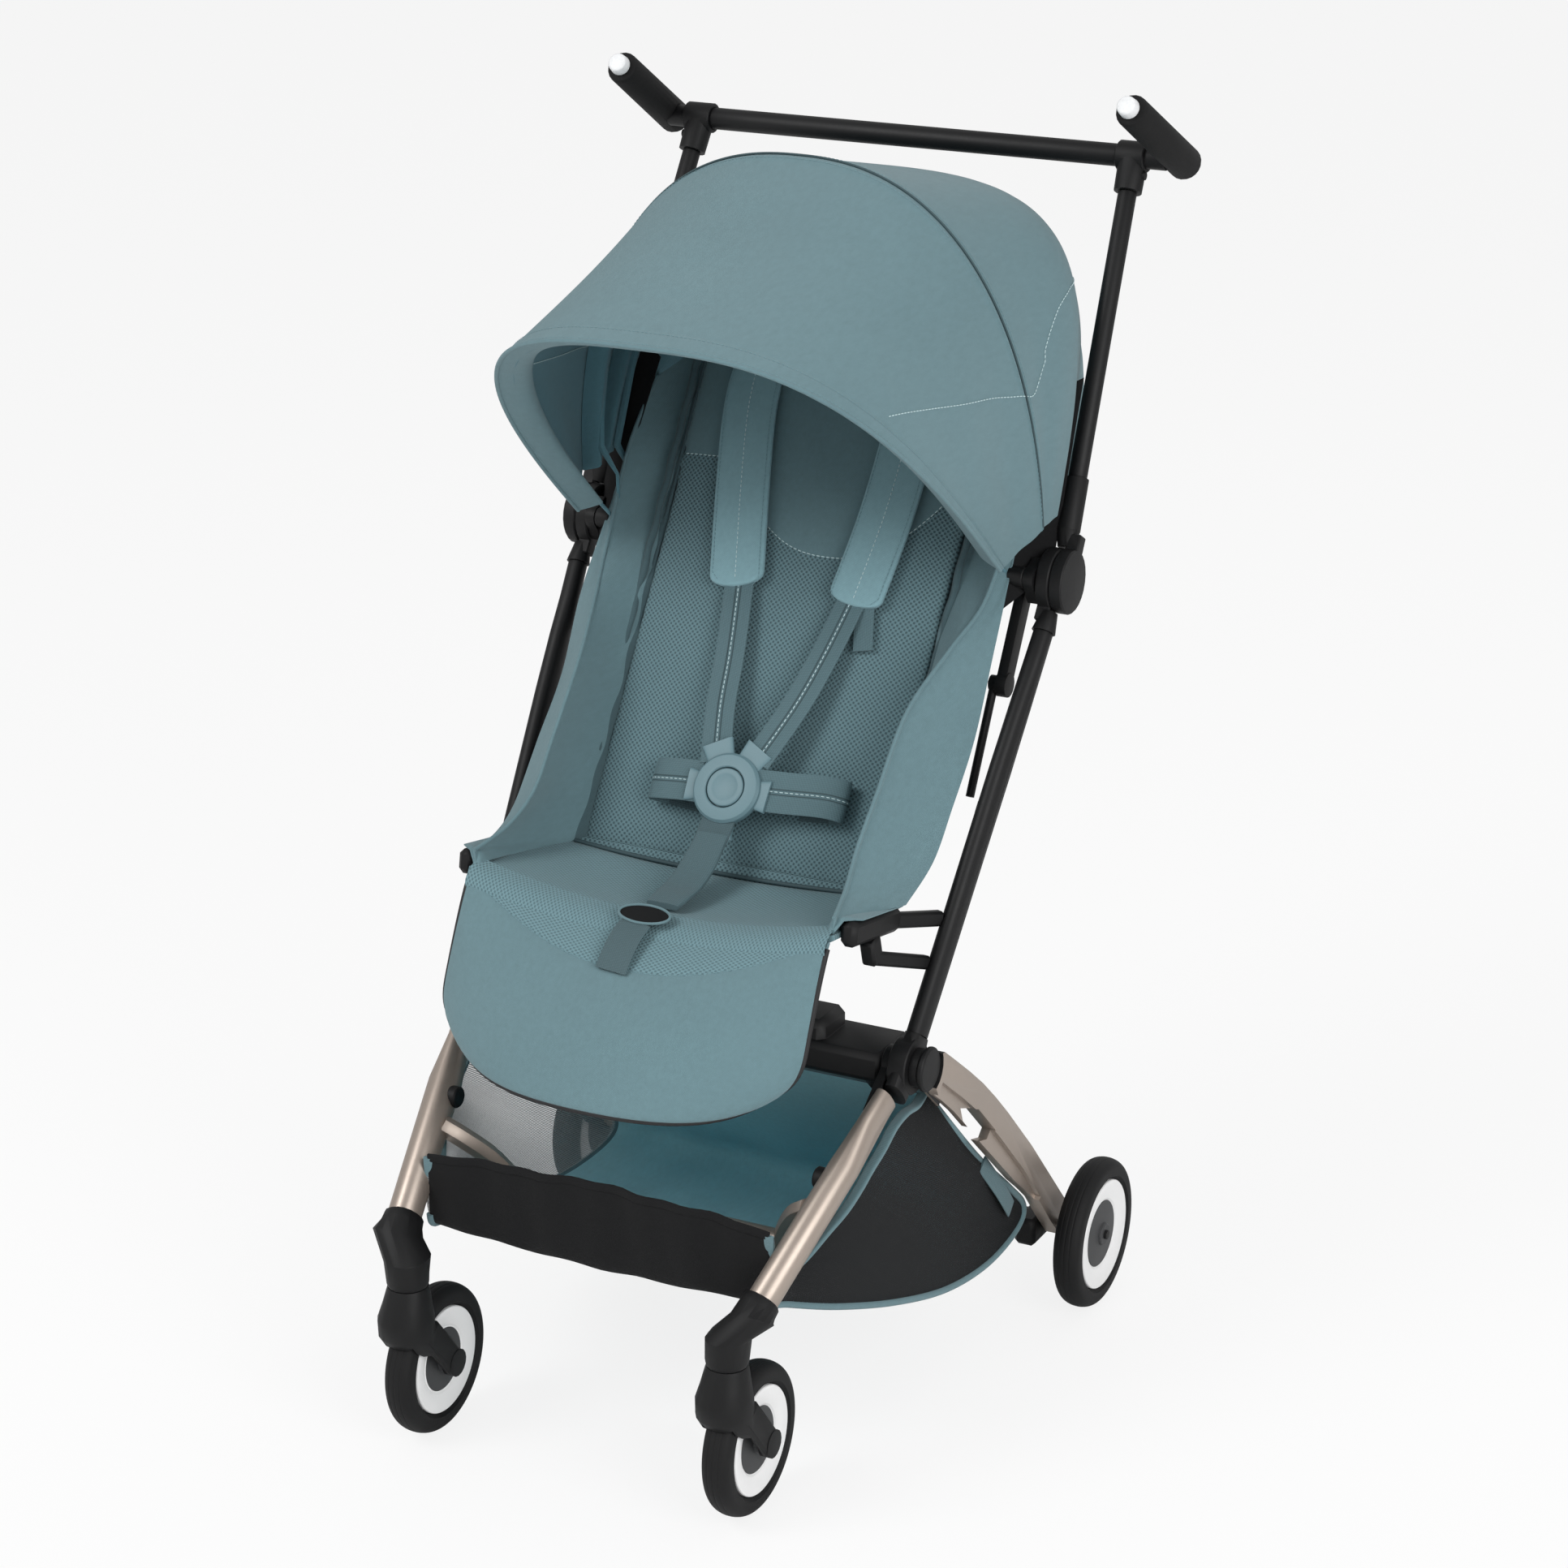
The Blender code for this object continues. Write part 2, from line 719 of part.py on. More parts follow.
def socket():
    start = LEG_FOOT + leg_way * GAP
    bend = start + leg_way * 0.0150
    rings = [
        oval(start, leg_wide, leg_deep, 0.0095, 0.0155, 2.3),
        oval(start + leg_way * 0.0070, leg_wide, leg_deep, 0.0105, 0.0165, 2.3),
    ]
    ahead = -floor_y
    slant = (leg_deep + ahead * 0.6).normalized()
    rings.append(oval(bend + Vector((0.0005, -0.0015, 0.0005)), floor_x, slant, 0.0140, 0.0180, 2.3))
    top = swivel_top + Vector((0.0008, 0.0, 0.0230))
    rings.append(oval(top, floor_x, ahead, SOCKET_R * 0.99, SOCKET_R * 1.08, 2.2))
    rings.append(oval(swivel_top + Vector((0, 0, 0.0040)), floor_x, ahead, SOCKET_R, SOCKET_R, 2.0))
    rings.append(oval(swivel_top + Vector((0, 0, 0.0003)), floor_x, ahead, SOCKET_R - 0.001, SOCKET_R - 0.001, 2.0))
    return loft(rings)


def swivel_hole():
    return rod(swivel_top - Vector((0, 0, 0.01)), swivel_top + Vector((0, 0, 0.0200 + GAP)), 0.0050 + GAP, sides=16)


pair("caster_socket", socket, black, HUB, [("DIFFERENCE", swivel_hole)])


# Front cross brace: an arm from each leg, and the tube between them
arm_root = HUB + leg_way * (leg_length * 0.621)
brace_end = Vector((0.1220, -0.1950, 0.1830))


def brace_tube():
    return rod((-brace_end.x - 0.002, brace_end.y, brace_end.z), (brace_end.x + 0.002, brace_end.y, brace_end.z), BRACE_R)


def brace_arm(side):
    def make():
        inner = Vector((arm_root.x - 0.0086, arm_root.y, arm_root.z))
        path = smooth(
            [
                inner,
                inner + Vector((-0.0130, 0.0070, -0.0100)),
                inner + Vector((-0.0290, 0.0240, -0.0310)),
                brace_end,
            ],
            8,
        )
        path = [(p[0] * side, p[1], p[2]) for p in path]
        path.append((side * (brace_end.x - 0.004), brace_end.y, brace_end.z - 0.002))
        bm = pipe(path, 0.0085, fine=1)
        return bm

    return make


def leg_room(side):
    """The leg with its gap, so that each arm ends on the leg's inner face."""

    def make():
        start, end = HUB + leg_way * 0.1000, LEG_FOOT
        rings = [
            oval(start, leg_wide, leg_deep, LEG_WIDTH / 2 + GAP, LEG_DEPTH / 2 + GAP, 2.2),
            oval(end, leg_wide, leg_deep, LEG_WIDTH / 2 + GAP, LEG_DEPTH / 2 + GAP, 2.2),
        ]
        bm = loft(rings)
        if side < 0:
            bmesh.ops.scale(bm, vec=(-1, 1, 1), verts=bm.verts)
            bmesh.ops.reverse_faces(bm, faces=bm.faces)
        return bm

    return make


node(
    "front_brace",
    brace_tube,
    satin,
    (0, HUB.y, HUB.z),
    [
        ("UNION", brace_arm(1)),
        ("UNION", brace_arm(-1)),
        ("DIFFERENCE", leg_room(1)),
        ("DIFFERENCE", leg_room(-1)),
    ],
)


# Casters: knuckle, fork arms, swivel stem and axle in one piece
wheel_y = SWIVEL[1] + TRAIL
axle = Vector((SWIVEL[0], wheel_y, FRONT_R))


def fork():
    rings = []
    for z, y, wide, deep in (
        (SPLIT_Z - 0.0002, SWIVEL[1], SOCKET_R - 0.001, SOCKET_R - 0.001),
        (SPLIT_Z - 0.0035, SWIVEL[1], SOCKET_R, SOCKET_R),
        (SPLIT_Z - 0.0140, SWIVEL[1] - 0.0020, SOCKET_R * 1.12, SOCKET_R * 1.18),
        (SPLIT_Z - 0.0260, SWIVEL[1] - 0.0045, SOCKET_R * 1.30, SOCKET_R * 1.36),
        (SPLIT_Z - 0.0400, SWIVEL[1] - 0.0040, SOCKET_R * 1.32, SOCKET_R * 1.30),
        (SPLIT_Z - 0.0520, SWIVEL[1] + 0.0010, SOCKET_R * 1.26, SOCKET_R * 1.02),
        (SPLIT_Z - 0.0590, SWIVEL[1] + 0.0060, SOCKET_R * 1.18, SOCKET_R * 0.70),
    ):
        rings.append(oval((SWIVEL[0], y, z), floor_x, floor_y, wide, deep, 2.1))
    return loft(rings)


def fork_arm(out):
    def make():
        x = SWIVEL[0] + out * (RING_PROUD + 0.0050)
        start = Vector((x, SWIVEL[1] + 0.0020, SPLIT_Z - 0.0400))
        end = Vector((x, wheel_y, FRONT_R))
        return link(start, end, 0.0230, 0.0070, 0.0025, 0.0030)

    return make


def fork_boss(out):
    def make():
        x = SWIVEL[0] + out * (RING_PROUD + 0.0050)
        return disc(x - 0.0042, x + 0.0042, wheel_y, FRONT_R, 0.0115, 16)

    return make


def wheel_room():
    return disc(
        SWIVEL[0] - RING_PROUD - 0.0008, SWIVEL[0] + RING_PROUD + 0.0008, wheel_y, FRONT_R, FRONT_R + 0.0020, 24
    )


def fork_axle():
    reach = RING_PROUD + 0.0070
    return disc(SWIVEL[0] - reach, SWIVEL[0] + reach, wheel_y, FRONT_R, AXLE_R, 12)


def stem():
    return rod(swivel_top - Vector((0, 0, 0.004)), swivel_top + Vector((0, 0, 0.0200)), 0.0050, sides=16)


pair(
    "caster_fork",
    fork,
    black,
    (SWIVEL[0], SWIVEL[1], SPLIT_Z),
    [
        ("UNION", fork_arm(1)),
        ("UNION", fork_arm(-1)),
        ("DIFFERENCE", wheel_room),
        ("UNION", fork_boss(1)),
        ("UNION", fork_boss(-1)),
        ("UNION", fork_axle),
        ("UNION", stem),
    ],
)


# Wheels
def tyre_profile(radius, ring):
    half = TYRE_HALF
    inner = ring - 0.0020
    out = []
    for step in range(5):
        angle = math.pi * step / 4
        r = radius - half * 0.95 * (1 - math.sin(angle) ** 0.8) if step not in (0, 4) else radius - half * 0.95
        out.append((r, -half * math.cos(angle)))
    return [(inner, half * 0.72), (inner, -half * 0.72), (ring + 0.0008, -half)] + out + [(ring + 0.0008, half)]


def rim_profile(ring):
    """Hub, dished disc and ring. The ring's outboard face is a cone."""
    edge = ring - 0.0020 - GAP
    bore = AXLE_R + GAP
    hub_half = RING_PROUD - 0.0012
    proud = TYRE_HALF - 0.0004
    core = ring * 0.55
    return [
        (bore, -hub_half),
        (0.0120, -hub_half),
        (core, -0.0065),
        (edge, -proud * 0.72),
        (edge, proud * 0.72),
        (ring * 0.93, proud),
        (core, 0.0078),
        (0.0100, hub_half),
        (bore, hub_half),
    ]


front_axle = (SWIVEL[0], wheel_y, FRONT_R)
pair("front_tyre", lambda: lathe(tyre_profile(FRONT_R, FRONT_RING_R), front_axle), rubber, front_axle)
pair("front_rim", lambda: lathe(rim_profile(FRONT_RING_R), front_axle), white, front_axle)

rear_axle = (REAR_HUB[0], REAR_HUB[1], REAR_R)
pair("rear_tyre", lambda: lathe(tyre_profile(REAR_R, REAR_RING_R), rear_axle), rubber, rear_axle)
pair("rear_rim", lambda: lathe(rim_profile(REAR_RING_R), rear_axle), white, rear_axle)


# Rear legs: a curved side plate with a window, and an eye at the hub
def rear_outline():
    upper = [
        (HUB.y + 0.0215, HUB.z + 0.0070),
        (HUB.y + 0.0480, HUB.z - 0.0125),
        (HUB.y + 0.0960, HUB.z - 0.0495),
        (HUB.y + 0.1460, HUB.z - 0.0950),
        (HUB.y + 0.1980, HUB.z - 0.1470),
        (HUB.y + 0.2340, HUB.z - 0.1870),
        (REAR_HUB[1] + 0.0050, REAR_R + 0.0200),
    ]
    lower = [
        (REAR_HUB[1] + 0.0130, REAR_R - 0.0010),
        (REAR_HUB[1] - 0.0100, REAR_R - 0.0040),
        (HUB.y + 0.2140, HUB.z - 0.2030),
        (HUB.y + 0.1740, HUB.z - 0.1700),
        (HUB.y + 0.1120, HUB.z - 0.1140),
        (HUB.y + 0.0500, HUB.z - 0.0560),
        (HUB.y + 0.0100, HUB.z - 0.0250),
    ]
    top = [tuple(p) for p in smooth(upper, 12)]
    low = [tuple(p) for p in smooth(lower, 12)]
    notch = [tuple(polar(HUB, HUB_CAP_R + 0.0012, a, 0).yz) for a in (-70, -50, -30, -10, 10, 22)]
    return top + low + notch


def rear_window():
    ring = [(0.0630, -0.0590), (0.0880, -0.0690), (0.1230, -0.1020), (0.1160, -0.1080), (0.0990, -0.1030), (0.0680, -0.0720)]
    return [(HUB.y + y, HUB.z + z) for y, z in ring]


def rear_leg():
    return plate(rear_outline(), 0.2040, 0.2165, edge=0.0)


def rear_eye():
    return disc(0.2023, 0.2088, HUB.y, HUB.z, 0.0155, 24)


def rear_neck():
    start = polar(HUB, 0.0040, -42, 0.2077)
    return link(start, polar(HUB, 0.0500, -42, 0.2077), 0.0270, 0.0022)


def rear_inner_cut():
    """Near the hub the leg passes outside the upright when it folds."""
    return disc(0.1900, 0.2066, HUB.y, HUB.z, 0.1120, 40)


def rear_window_cut():
    return plate(rear_window(), 0.1950, 0.2300)


def rear_eye_bore():
    return disc(0.1950, 0.2300, HUB.y, HUB.z, HUB_PIN_R + GAP, 16)


def rear_axle_bore():
    return disc(0.1950, 0.2300, REAR_HUB[1], REAR_R, AXLE_R + GAP, 16)


def rear_recess():
    """The face under the outer band is set back."""
    low = rear_outline()
    ring = [(y - 0.0150, z - 0.0160) for y, z in low[1:11]]
    out = [(y - 0.0600, z - 0.0600) for y, z in low[1:11]]
    return plate(ring + out[::-1], 0.2118, 0.2300)


pair(
    "rear_leg",
    rear_leg,
    satin,
    HUB,
    [
        ("DIFFERENCE", rear_inner_cut),
        ("UNION", rear_neck),
        ("UNION", rear_eye),
        ("DIFFERENCE", rear_recess),
        ("DIFFERENCE", rear_window_cut),
        ("DIFFERENCE", rear_eye_bore),
        ("DIFFERENCE", rear_axle_bore),
    ],
)


# Rear axle bar with an end block and a stub at each side
def axle_bar():
    return rod((-0.1960, REAR_HUB[1], REAR_R), (0.1960, REAR_HUB[1], REAR_R), AXLE_BAR_R)


def axle_block(side):
    return lambda: block(
        (side * 0.1920 - 0.0095, REAR_HUB[1] - 0.0300, REAR_R - 0.0120),
        (side * 0.1920 + 0.0095, REAR_HUB[1] + 0.0130, REAR_R + 0.0130),
        0.0035,
    )


def axle_stub(side):
    return lambda: rod((side * 0.19, REAR_HUB[1], REAR_R), (side * 0.2570, REAR_HUB[1], REAR_R), AXLE_R, sides=12)


node(
    "rear_axle_bar",
    axle_bar,
    black,
    (0, HUB.y, HUB.z),
    [
        ("UNION", axle_block(1)),
        ("UNION", axle_block(-1)),
        ("UNION", axle_stub(1)),
        ("UNION", axle_stub(-1)),
    ],
)


# Brake pedal round the axle bar
def pedal():
    return lathe([(AXLE_BAR_R + GAP, -0.0200), (0.0135, -0.0200), (0.0135, 0.0200), (AXLE_BAR_R + GAP, 0.0200)], (0, REAR_HUB[1], REAR_R), 20)


def pedal_plate():
    return block((-0.0300, REAR_HUB[1] + 0.0110, REAR_R + 0.0010), (0.0300, REAR_HUB[1] + 0.0420, REAR_R + 0.0080), 0.002)


node("brake_pedal", pedal, black, (0, REAR_HUB[1], REAR_R), [("UNION", pedal_plate)])


# Seat rails with their arms to the uprights
def seat_rail():
    return link((RAIL_X, -0.1780, 0.4420), (RAIL_X, -0.0960, 0.4270), 0.0200, 0.0140, 0.004)


def rail_arm():
    return link((RAIL_X, -0.1010, 0.4265), (0.1938, -0.0620, 0.4190), 0.0120, 0.0100, 0.002)


def rail_drop():
    return link((RAIL_X, -0.1390, 0.4250), (RAIL_X, -0.1330, 0.4040), 0.0160, 0.0120, 0.002)


def rail_hook():
    return link((RAIL_X, -0.1360, 0.4080), (0.1915, -0.0830, 0.3890), 0.0110, 0.0100, 0.002)


def upright_room():
    wide, deep = across_of(down_way)
    rings = [
        oval(KNUCKLE + down_way * 0.20, wide, deep, 0.0083, 0.0128, 2.3),
        oval(KNUCKLE + down_way * 0.40, wide, deep, 0.0083, 0.0128, 2.3),
    ]
    return loft(rings)


pair(
    "seat_rail",
    seat_rail,
    black,
    ops=[("UNION", rail_arm), ("UNION", rail_drop), ("UNION", rail_hook), ("DIFFERENCE", upright_room)],
)

# Directions of the backrest in the side view
back_up = Vector((0, math.cos(BACK_ANGLE), math.sin(BACK_ANGLE)))
back_front = Vector((0, -math.sin(BACK_ANGLE), math.cos(BACK_ANGLE)))
back_foot = Vector((0, SEAT_BACK[0], SEAT_BACK[1]))
hinge_back = (0, SEAT_BACK[0] - 0.004, SEAT_BACK[1] - 0.012)
hinge_rest = (0, SEAT_FRONT[0], SEAT_FRONT[1])


def back_at(x, up, front):
    return back_foot + back_up * up + back_front * front + side_x * x


def edge_fade(value, reach):
    """0 at the ends of 0..1 and 1 away from them, rounded."""
    near = min(value, 1 - value) / reach
    return math.sqrt(max(0.0, 1 - (1 - min(near, 1)) ** 2))


# Backrest cushion, with a crown, drawn-in sides and two long channels
def back_surface(u, v):
    x = (u * 2 - 1) * (BACK_HALF + 0.006 * v)
    return tuple(back_at(x, 0.002 + v * (BACK_LENGTH + 0.010), -0.009 + 0.004 * (1 - math.cos(x * 9)) * 2))


def back_thick(u, v):
    crown = 0.0030 + 0.0060 * edge_fade(u, 0.22) * edge_fade(v, 0.08)
    channel = 0.0028 * math.exp(-(((abs(u - 0.5) - 0.34) / 0.028) ** 2))
    return crown - channel


def backrest():
    return cushion(back_surface, back_thick, lambda u, v: 0.0065 * edge_fade(u, 0.2) + 0.0015, 16, 8)


node("backrest_pad", backrest, cloth, hinge_back)


# Seat cushion, sagging between the rails
def seat_surface(u, v):
    x = (u * 2 - 1) * SEAT_HALF
    y = SEAT_FRONT[0] + 0.0015 + v * (SEAT_BACK[0] - 0.0003 - SEAT_FRONT[0])
    rise = (abs(x) / SEAT_HALF) ** 2.2
    front = 0.4215 + 0.0190 * rise
    rear = 0.4170 + 0.0080 * rise
    return (x, y, front * (1 - v) + rear * v - 0.006 * math.sin(math.pi * v) * (1 - rise))


def seat_pad():
    def top(u, v):
        crown = 0.0020 + 0.0065 * edge_fade(u, 0.15) * edge_fade(v, 0.18)
        return crown - 0.0025 * math.exp(-(((abs(u - 0.5) - 0.30) / 0.03) ** 2)) * edge_fade(v, 0.3)

    return cushion(seat_surface, top, lambda u, v: 0.0020 + 0.0050 * edge_fade(u, 0.15), 14, 6)


def strap_slot():
    return block((-0.0210, -0.1830, 0.3900), (0.0210, -0.1690, 0.4500), 0.0)


node("seat_pad", seat_pad, cloth, ops=[("DIFFERENCE", strap_slot)])


# Leg rest, convex to the front, with its lower corners rounded off
def rest_surface(u, v):
    lane = u * 2 - 1
    low = v**1.0
    half = REST_HALF * (1 - 0.10 * max(0.0, (low - 0.62) / 0.38) ** 3)
    x = lane * half
    bow = 1 - abs(lane) ** 2.2
    drop = 1 - 0.17 * abs(lane) ** 5 * low
    t = low * drop
    y = SEAT_FRONT[0] - 0.0007 - 0.0620 * t**0.85 - 0.0460 * bow * math.sin(math.pi * 0.5 * min(1.0, t * 1.35))
    z = SEAT_FRONT[1] - 0.0170 * bow * (1 - t) - 0.1280 * t
    return (x, y, z)


def leg_rest():
    def front(u, v):
        return 0.0020 + 0.0025 * edge_fade(u, 0.08) * edge_fade(v, 0.1)

    return cushion(rest_surface, front, lambda u, v: 0.0020, 14, 8)


node("leg_rest", leg_rest, cloth, hinge_rest)


# Side wings from the backrest's edge to the outside of the seat frame
def wing():
    def surface(u, v):
        up = 0.020 + 0.245 * v
        near = back_at(BACK_HALF + 0.0014 + 0.006 * (up + 0.030 * v) / BACK_LENGTH, up + 0.030 * v, -0.0060)
        far = back_at(0.1830, up - 0.020, 0.0040 + 0.012 * math.sin(math.pi * v))
        return tuple(near * (1 - u) + far * u + back_front * 0.006 * math.sin(math.pi * u))

    return cushion(surface, lambda u, v: 0.0014, lambda u, v: 0.0014, 4, 10)


pair("side_wing", wing, cloth)

# Buckle in front of the backrest, its button, and the crotch pad
buckle_at = back_at(0, 0.0640, 0.0300)
buckle_top = back_at(0, 0.0640, 0.0370)


def buckle():
    bm = rod(back_at(0, 0.0640, 0.0225), buckle_top, 0.0290, 0.0280, 24)
    rims = [e for e in bm.edges if any(len(f.verts) > 4 for f in e.link_faces)]
    bmesh.ops.bevel(bm, geom=rims, offset=0.0022, segments=1, affect="EDGES", profile=0.5)
    return bm


def button_well():
    return rod(back_at(0, 0.0640, 0.0320), back_at(0, 0.0640, 0.0420), 0.0150 + GAP, sides=24)


def button():
    return rod(back_at(0, 0.0640, 0.0345), back_at(0, 0.0640, 0.0385), 0.0150, 0.0142, 24)


def crotch_pad():
    path = smooth(
        [(0, -0.0600, 0.4760), (0, -0.0850, 0.4560), (0, -0.1080, 0.4400), (0, -0.1320, 0.4313), (0, -0.1560, 0.4293)], 10
    )

    def surface(u, v):
        place = v * 10
        i = min(int(place), 9)
        p = path[i] * (1 - place + i) + path[i + 1] * (place - i)
        half = 0.0130 + 0.0100 * math.sin(math.pi * max(0.0, min(1.0, v * 1.1 - 0.15)))
        return ((u * 2 - 1) * half, p[1], p[2])

    return cushion(surface, lambda u, v: 0.0016 + 0.002 * edge_fade(u, 0.3), lambda u, v: 0.0016, 4, 8)


node("buckle", buckle, cloth, ops=[("UNION", crotch_pad), ("DIFFERENCE", button_well)])
node("buckle_button", button, cloth, tuple(buckle_at))


# Harness: a shoulder pad and strap on each side, ending at the buckle
def harness():
    path = smooth(
        [
            tuple(back_at(0.0560, 0.4150, 0.0064)),
            tuple(back_at(0.0620, 0.3300, 0.0074)),
            tuple(back_at(0.0640, 0.2500, 0.0095)),
            tuple(back_at(0.0470, 0.1700, 0.0170)),
            tuple(back_at(0.0175, 0.0930, 0.0290)),
        ],
        24,
    )

    def surface(u, v):
        place = v * 24
        i = min(int(place), 23)
        p = path[i] * (1 - place + i) + path[i + 1] * (place - i)
        wide = 0.0125 + (0.0130 if v < 0.52 else 0.0)
        fade = max(0.0, min(1.0, (0.56 - v) / 0.05))
        wide = 0.0125 + 0.0130 * fade
        return (p[0] + (u * 2 - 1) * wide, p[1], p[2])

    def front(u, v):
        pad = max(0.0, min(1.0, (0.56 - v) / 0.05))
        return 0.0010 + 0.0030 * pad * edge_fade(u, 0.3)

    return cushion(surface, front, lambda u, v: 0.0010, 4, 16)


pair("harness", harness, cloth, hinge_back)


# Canopy: three bows on one pivot line, the hinge collars of the front bow, and two panels of cloth
HOOD_ANGLES = [30.0, 40.0, 52.0, REAR_ANGLE, MID_ANGLE, FRONT_ANGLE]
HOOD_TALL = [0.2750, 0.3040, 0.3230, 0.3170, 0.3227, 0.3660]
HOOD_HALF = [0.1950, 0.1980, 0.1990, 0.2110, 0.2095, 0.1900]
HOOD_POWER = [2.6, 2.9, 3.2, 3.4, 2.36, 2.95]
HOOD_LOW = [0.1000, 0.0850, 0.0660, 0.0520, 0.0420, 0.0420]
SPANS = 20
SEAM_HALF = 0.0005


def hood_point(angle, part, inset=0.0, shift=0.0, low=None, reach=1.0):
    """Part runs 0..1 from the +X edge over the crown to the -X edge of the arch at this angle."""
    tall = float(np.interp(angle, HOOD_ANGLES, HOOD_TALL)) - inset
    half = float(np.interp(angle, HOOD_ANGLES, HOOD_HALF)) - inset
    power = float(np.interp(angle, HOOD_ANGLES, HOOD_POWER))
    start = float(np.interp(angle, HOOD_ANGLES, HOOD_LOW)) if low is None else low
    first = math.asin((start / tall) ** (power / 2))
    turn = first + (math.pi - 2 * first) * part
    c, s = math.cos(turn), math.sin(turn)
    x = math.copysign(abs(c) ** (2 / power), c) * half
    x = max(-reach, min(reach, x))
    up = abs(s) ** (2 / power) * tall
    along = math.radians(angle)
    y = BOW_PIVOT.y + up * math.cos(along) - shift * math.sin(along)
    z = BOW_PIVOT.z + up * math.sin(along) + shift * math.cos(along)
    return (x, y, z)


def hem_lead(part):
    """How far the front hem runs ahead of the front bow: more towards its ends."""
    return 0.0060 + 0.0070 * abs(part * 2 - 1) ** 3


def panel(keys, rows):
    """Cloth ruled between arches, standing off the middle seam by half its gap."""

    def make():
        steps = [(a, b, k / rows) for a, b in zip(keys, keys[1:]) for k in range(rows)] + [(keys[-1], keys[-1], 0.0)]
        last = len(steps) - 1

        def at(angle, u):
            shift = 0.0
            if angle == MID_ANGLE:
                shift = SEAM_HALF if keys[0] == MID_ANGLE else -SEAM_HALF
            if angle == FRONT_ANGLE:
                shift = hem_lead(u)
            return Vector(hood_point(angle, u, 0.0, shift))

        def surface(u, v):
            a, b, t = steps[round(v * last)]
            return at(a, u) * (1 - t) + at(b, u) * t

        return grid(surface, SPANS, last)

    return make


def bow(angle, slot):
    spans = 16

    def make():
        inset = CLOTH + BOW_R + (0.0047 if angle == FRONT_ANGLE else 0.0009)
        low = [(slot, 0.0045), (slot, 0.0400)]
        points = [tuple(polar(BOW_PIVOT, up, angle, x)) for x, up in low]
        radii = [0.46] * 2 + [1.0] * (spans + 1) + [0.46] * 2
        points += [hood_point(angle, i / spans, inset, 0.0, 0.0620, BOW_REACH - BOW_R) for i in range(spans + 1)]
        points += [tuple(polar(BOW_PIVOT, up, angle, -x)) for x, up in low[::-1]]
        return pipe(points, BOW_R, radii, 1)

    return make


def bow_eye(slot, side, radius):
    return lambda: disc(side * slot - 0.00165, side * slot + 0.00165, BOW_PIVOT.y, BOW_PIVOT.z, radius, 16)


def pivot_bore(radius):
    return lambda: disc(-0.25, 0.25, BOW_PIVOT.y, BOW_PIVOT.z, radius, 12)


pivot_line = (0, BOW_PIVOT.y, BOW_PIVOT.z)
for title, angle, slot, hole in (
    ("canopy_front_bow", FRONT_ANGLE, 0.1785, COLLAR_R + GAP),
    ("canopy_mid_bow", MID_ANGLE, 0.1745, PIN_R + GAP),
    ("canopy_rear_bow", REAR_ANGLE, 0.1705, PIN_R + GAP),
):
    node(
        title,
        bow(angle, slot),
        black,
        pivot_line,
        [("UNION", bow_eye(slot, 1, 0.0082)), ("UNION", bow_eye(slot, -1, 0.0082)), ("DIFFERENCE", pivot_bore(hole))],
    )


def hinge_collar():
    return disc(0.1806, 0.1940, BOW_PIVOT.y, BOW_PIVOT.z, 0.0085, 20, 0.0008)


def hinge_tube():
    return disc(0.1765, 0.1850, BOW_PIVOT.y, BOW_PIVOT.z, COLLAR_R, 16)


pair("canopy_hinge", hinge_collar, black, pivot_line, [("UNION", hinge_tube), ("DIFFERENCE", pivot_bore(PIN_R + GAP))])
node("canopy_front_panel", panel([MID_ANGLE, FRONT_ANGLE], 5), cloth, pivot_line, shell=CLOTH)
node("canopy_rear_panel", panel([30.0, 40.0, 52.0, REAR_ANGLE, MID_ANGLE], 2), cloth, pivot_line, shell=CLOTH)


